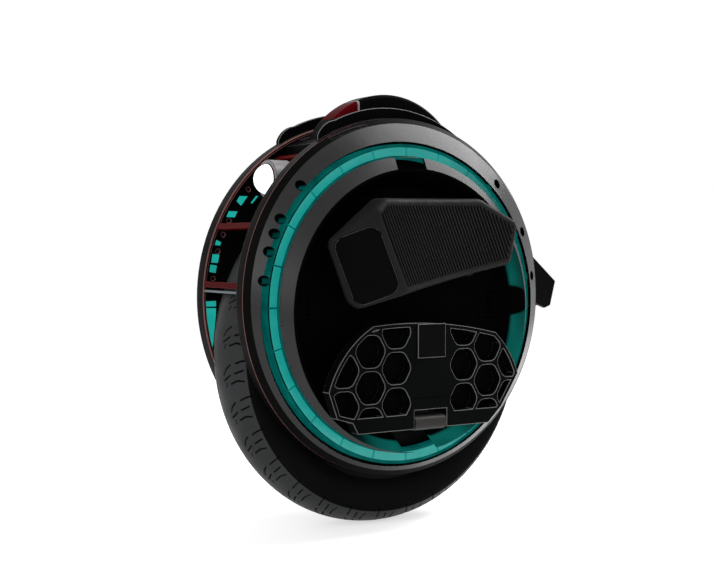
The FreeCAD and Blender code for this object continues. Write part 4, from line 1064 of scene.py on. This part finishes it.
@dataclass
class LegPads:
    """The soft leg pads with their ribbed inserts and front panels."""

    voxel: float = 0.0022
    smoothing: int = 8
    smoothing_share: float = 0.5
    fill: float = 0.9
    pad_sharp: float = 60.0
    rib_sharp: float = 20.0
    rib_facing: float = 0.1
    cap_edge: float = 0.0007

    def build(self) -> None:
        """Makes both pads with their ribbed inserts, and dresses their front panels."""
        for side in SIDES:
            self.pad(side)
            self.ribs(side)
            Bench.dress_nodes(Finishes.CAP, f"pad_cap_{side}")
            Bench.ease(self.cap_edge, Finishes.DIM_HIGHLIGHT_EDGE, f"pad_cap_{side}")

    def pad(self, side: str) -> None:
        """Models a soft pad from its solid.

        Args:
            side: The side's name.
        """
        piece = Bench.merged(f"leg_pad_{side}", f"leg_pad_soft_{side}")
        Bench.apply(piece, "REMESH", mode="VOXEL", voxel_size=self.voxel)
        Bench.apply(piece, "SMOOTH", factor=self.smoothing_share, iterations=self.smoothing)
        Bench.deliver(piece, Body.FRAME, Finishes.FOAM, "pad_foam", self.pad_sharp)
        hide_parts(f"leg_pad_{side}")

    def ribs(self, side: str) -> None:
        """Copies a ribbed insert and marks its grooves for painted shade.

        Args:
            side: The side's name.
        """
        piece = Bench.merged(f"pad_ribs_{side}", f"pad_ribs_shaded_grooves_{side}")
        Bench.deliver(piece, Body.FRAME, Finishes.RIBS, "black_rubber", self.rib_sharp)
        depths = [0.0] * len(piece.data.vertices)
        for face in piece.data.polygons:
            if face.normal.y * SIDES[side] > self.rib_facing:
                for number in face.vertices:
                    depths[number] += (face.center - piece.data.vertices[number].co).y * SIDES[side]
        # Painted shade: groove corners are marked to take the darker colour.
        marks = piece.data.attributes.new("shaded_cut", "FLOAT", "POINT")
        for mark, depth in zip(marks.data, depths):
            mark.value = 1.0 if depth > 0 else 0.0
        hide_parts(f"pad_ribs_{side}")


@dataclass
class Pedals:
    """The folding pedals and what carries them."""

    edge: float = 0.0007

    def build(self) -> None:
        """Dresses both pedals."""
        Bench.dress_sides(pedal=Finishes.PEDAL, pedal_grip=Finishes.GRIP, pedal_catch=Finishes.RUBBER,
                          pedal_hanger=Finishes.HANGER, pedal_pin=Finishes.BARREL)
        for side in SIDES:
            # Pale bevels on the pedals' cell rims and edges: painted highlights.
            Bench.ease(self.edge, Finishes.HIGHLIGHT_EDGE, f"pedal_{side}", f"pedal_catch_{side}")
            Bench.ease(self.edge, Finishes.DIM_HIGHLIGHT_EDGE, f"pedal_hanger_{side}")


@dataclass
class FrontCage:
    """The bars and the headlight."""

    lip_middle: Place = (0.2110, 0.0, 0.2886)
    lip_size: Place = (0.0056, 0.0819, 0.0026)
    lip_edge: float = 0.0006
    lip_steps: int = 3
    bar_edge: float = 0.0006
    lamp_edge: float = 0.0008

    def build(self) -> None:
        """Makes the lower bar's lip and dresses the cage and the headlight."""
        self.lip()
        # The bars' red is painted red light; their bevels take a painted highlight.
        Bench.dress_nodes(Finishes.RED_LIT_BARS, "front_bars")
        Bench.dress_nodes(Finishes.LAMP_CASE, "headlight_housing")
        Bench.dress_nodes(Finishes.LAMP, "headlight_lens")
        Bench.ease(self.bar_edge, Finishes.BAR_HIGHLIGHT, "front_bars")
        Bench.ease(self.lamp_edge, Finishes.HIGHLIGHT_EDGE, "headlight_housing")

    def lip(self) -> None:
        """A pale strip under the lower bar, rounded along its edges."""
        bpy.ops.mesh.primitive_cube_add(size=1, location=self.lip_middle, scale=self.lip_size)
        piece = Bench.named("bar_lip")
        Bench.settle(piece)
        Bench.apply(piece, "BEVEL", width=self.lip_edge, segments=self.lip_steps)
        Bench.deliver(piece, Body.FRAME, Finishes.LIP, "alloy")


@dataclass
class TopDeck:
    """The deck, its controls, the wings and the handle."""

    edge: float = 0.0007

    def build(self) -> None:
        """Dresses the top."""
        Bench.dress_nodes(Finishes.CASE, "top_deck", "charge_port")
        Bench.dress_nodes(Finishes.BOARD, "control_board")
        Bench.dress_nodes(Finishes.GLOSS, "power_button")
        Bench.dress_sides(wing=Finishes.WING)
        Bench.dress_nodes(Finishes.HANDLE, "handle")
        Bench.dress_nodes(Finishes.RUBBER, "handle_grip", "charge_cap", "lift_switch")
        Bench.ease(self.edge, Finishes.DIM_HIGHLIGHT_EDGE, "top_deck", "lift_switch", "power_button")
        Bench.ease(self.edge, Finishes.HIGHLIGHT_EDGE, "wing_left", "wing_right")


@dataclass
class RearGuard:
    """The rear mudguard and its light."""

    guard_edge: float = 0.0010
    light_edge: float = 0.0006

    def build(self) -> None:
        """Dresses the mudguard."""
        Bench.dress_nodes(Finishes.SHELL, "rear_mudguard")
        Bench.dress_nodes(Finishes.TAIL, "tail_light")
        Bench.ease(self.guard_edge, Finishes.DIM_HIGHLIGHT_EDGE, "rear_mudguard")
        Bench.ease(self.light_edge, Finishes.DIM_HIGHLIGHT_EDGE, "tail_light")


@dataclass(frozen=True)
class SoftBox:
    """A rectangular soft lamp that looks at the machine."""

    name: str
    place: Place
    size: Span
    power: float
    along: Place = (0.0, 0.0, 1.0)
    target: Place = (0.0, 0.0, 0.27)

    def build(self) -> None:
        """Hangs the lamp in its place."""
        light = bpy.data.lights.new(self.name, "AREA")
        light.shape = "RECTANGLE"
        light.size, light.size_y = self.size
        light.energy = self.power
        lamp = bpy.data.objects.new(self.name, light)
        bpy.context.scene.collection.objects.link(lamp)
        back = (Vector(self.place) - Vector(self.target)).normalized()
        side = Vector(self.along)
        side = (side - back * side.dot(back)).normalized()
        turn = Matrix((side, back.cross(side), back)).transposed().to_4x4()
        lamp.matrix_world = Matrix.Translation(Vector(self.place)) @ turn


@dataclass
class Studio:
    """Floor, backdrop, lamps and camera."""

    eye: Place = (0.8897, 1.3288, 0.3424)
    back: Place = (0.545, 0.838, 0.034)
    lens: float = 64.9
    sensor: float = 36.0
    floor_size: float = 60.0
    floor_drop: float = 0.0005
    paper_roughness: float = 0.9
    paper: float = 0.9
    ambient: float = 0.45
    floor_glow: float = 0.6
    boxes: tuple[SoftBox, ...] = (
        SoftBox("top_box", (-1.05, 0.30, 1.52), (1.6, 0.55), 34.0, (-0.727, -0.503, -0.466)),
        SoftBox("side_box", (1.4, 1.2, 0.9), (1.0, 1.0), 9.0),
        SoftBox("back_box", (-1.3, -0.9, 1.1), (1.0, 1.0), 6.0))

    def build(self) -> None:
        """Sets up the studio."""
        self.floor()
        self.world()
        for box in self.boxes:
            box.build()
        self.camera()
        bpy.context.scene.view_settings.view_transform = "Standard"

    @staticmethod
    def seen(nodes: bpy.types.Nodes, links: bpy.types.NodeLinks, low: float, high: float) -> Socket:
        """A strength for rays from the camera, mirrors and glass, and another for the rest.

        Args:
            nodes: The tree's nodes.
            links: The tree's links.
            low: Strength for other rays.
            high: Strength for rays that show the backdrop.

        Returns:
            The strength's socket.
        """
        path = nodes.new("ShaderNodeLightPath")
        share = path.outputs["Is Camera Ray"]
        for name in ("Is Glossy Ray", "Is Transmission Ray"):
            either = nodes.new("ShaderNodeMath")
            either.operation = "MAXIMUM"
            links.new(share, either.inputs[0])
            links.new(path.outputs[name], either.inputs[1])
            share = either.outputs[0]
        strength = nodes.new("ShaderNodeMapRange")
        links.new(share, strength.inputs["Value"])
        strength.inputs["To Min"].default_value = low
        strength.inputs["To Max"].default_value = high
        return strength.outputs["Result"]

    def floor(self) -> None:
        """A plain white floor that keeps the shadow."""
        bpy.ops.mesh.primitive_plane_add(size=self.floor_size, location=(0, 0, -self.floor_drop))
        piece = Bench.named("floor")
        Bench.settle(piece)
        tree = Tree("floor_paper")
        links = tree.material.node_tree.links
        tree.set(Base_Color=(self.paper, self.paper, self.paper, 1), Roughness=self.paper_roughness,
                 Specular_IOR_Level=0.0, Emission_Color=(1, 1, 1, 1),
                 Emission_Strength=self.seen(tree.nodes, links, 0.0, self.floor_glow))
        piece.data.materials.append(tree.material)

    def world(self) -> None:
        """A white backdrop, and a softer light on the object."""
        world = bpy.data.worlds.new("studio")
        bpy.context.scene.world = world
        world.use_nodes = True
        nodes, links = world.node_tree.nodes, world.node_tree.links
        links.new(self.seen(nodes, links, self.ambient, 1.0), nodes["Background"].inputs["Strength"])
        nodes["Background"].inputs["Color"].default_value = (1, 1, 1, 1)

    def camera(self) -> None:
        """The photograph's viewpoint."""
        data = bpy.data.cameras.new("camera")
        data.lens = self.lens
        data.sensor_width = self.sensor
        camera = bpy.data.objects.new("camera", data)
        bpy.context.scene.collection.objects.link(camera)
        back = Vector(self.back).normalized()
        right = Vector((0, 0, 1)).cross(back).normalized()
        up = back.cross(right)
        turn = Matrix((right, up, back)).transposed().to_4x4()
        camera.matrix_world = Matrix.Translation(Vector(self.eye)) @ turn
        bpy.context.scene.camera = camera


def main() -> None:
    """Builds every sub-assembly in order."""
    logging.basicConfig(level=logging.INFO, format="%(message)s")
    for assembly in (Studio(), Wheel(), SideRings(), LegPads(), Pedals(), FrontCage(), TopDeck(),
                     RearGuard()):
        assembly.build()
        LOG.info("built %s", type(assembly).__name__)


if __name__ == "__main__":
    main()
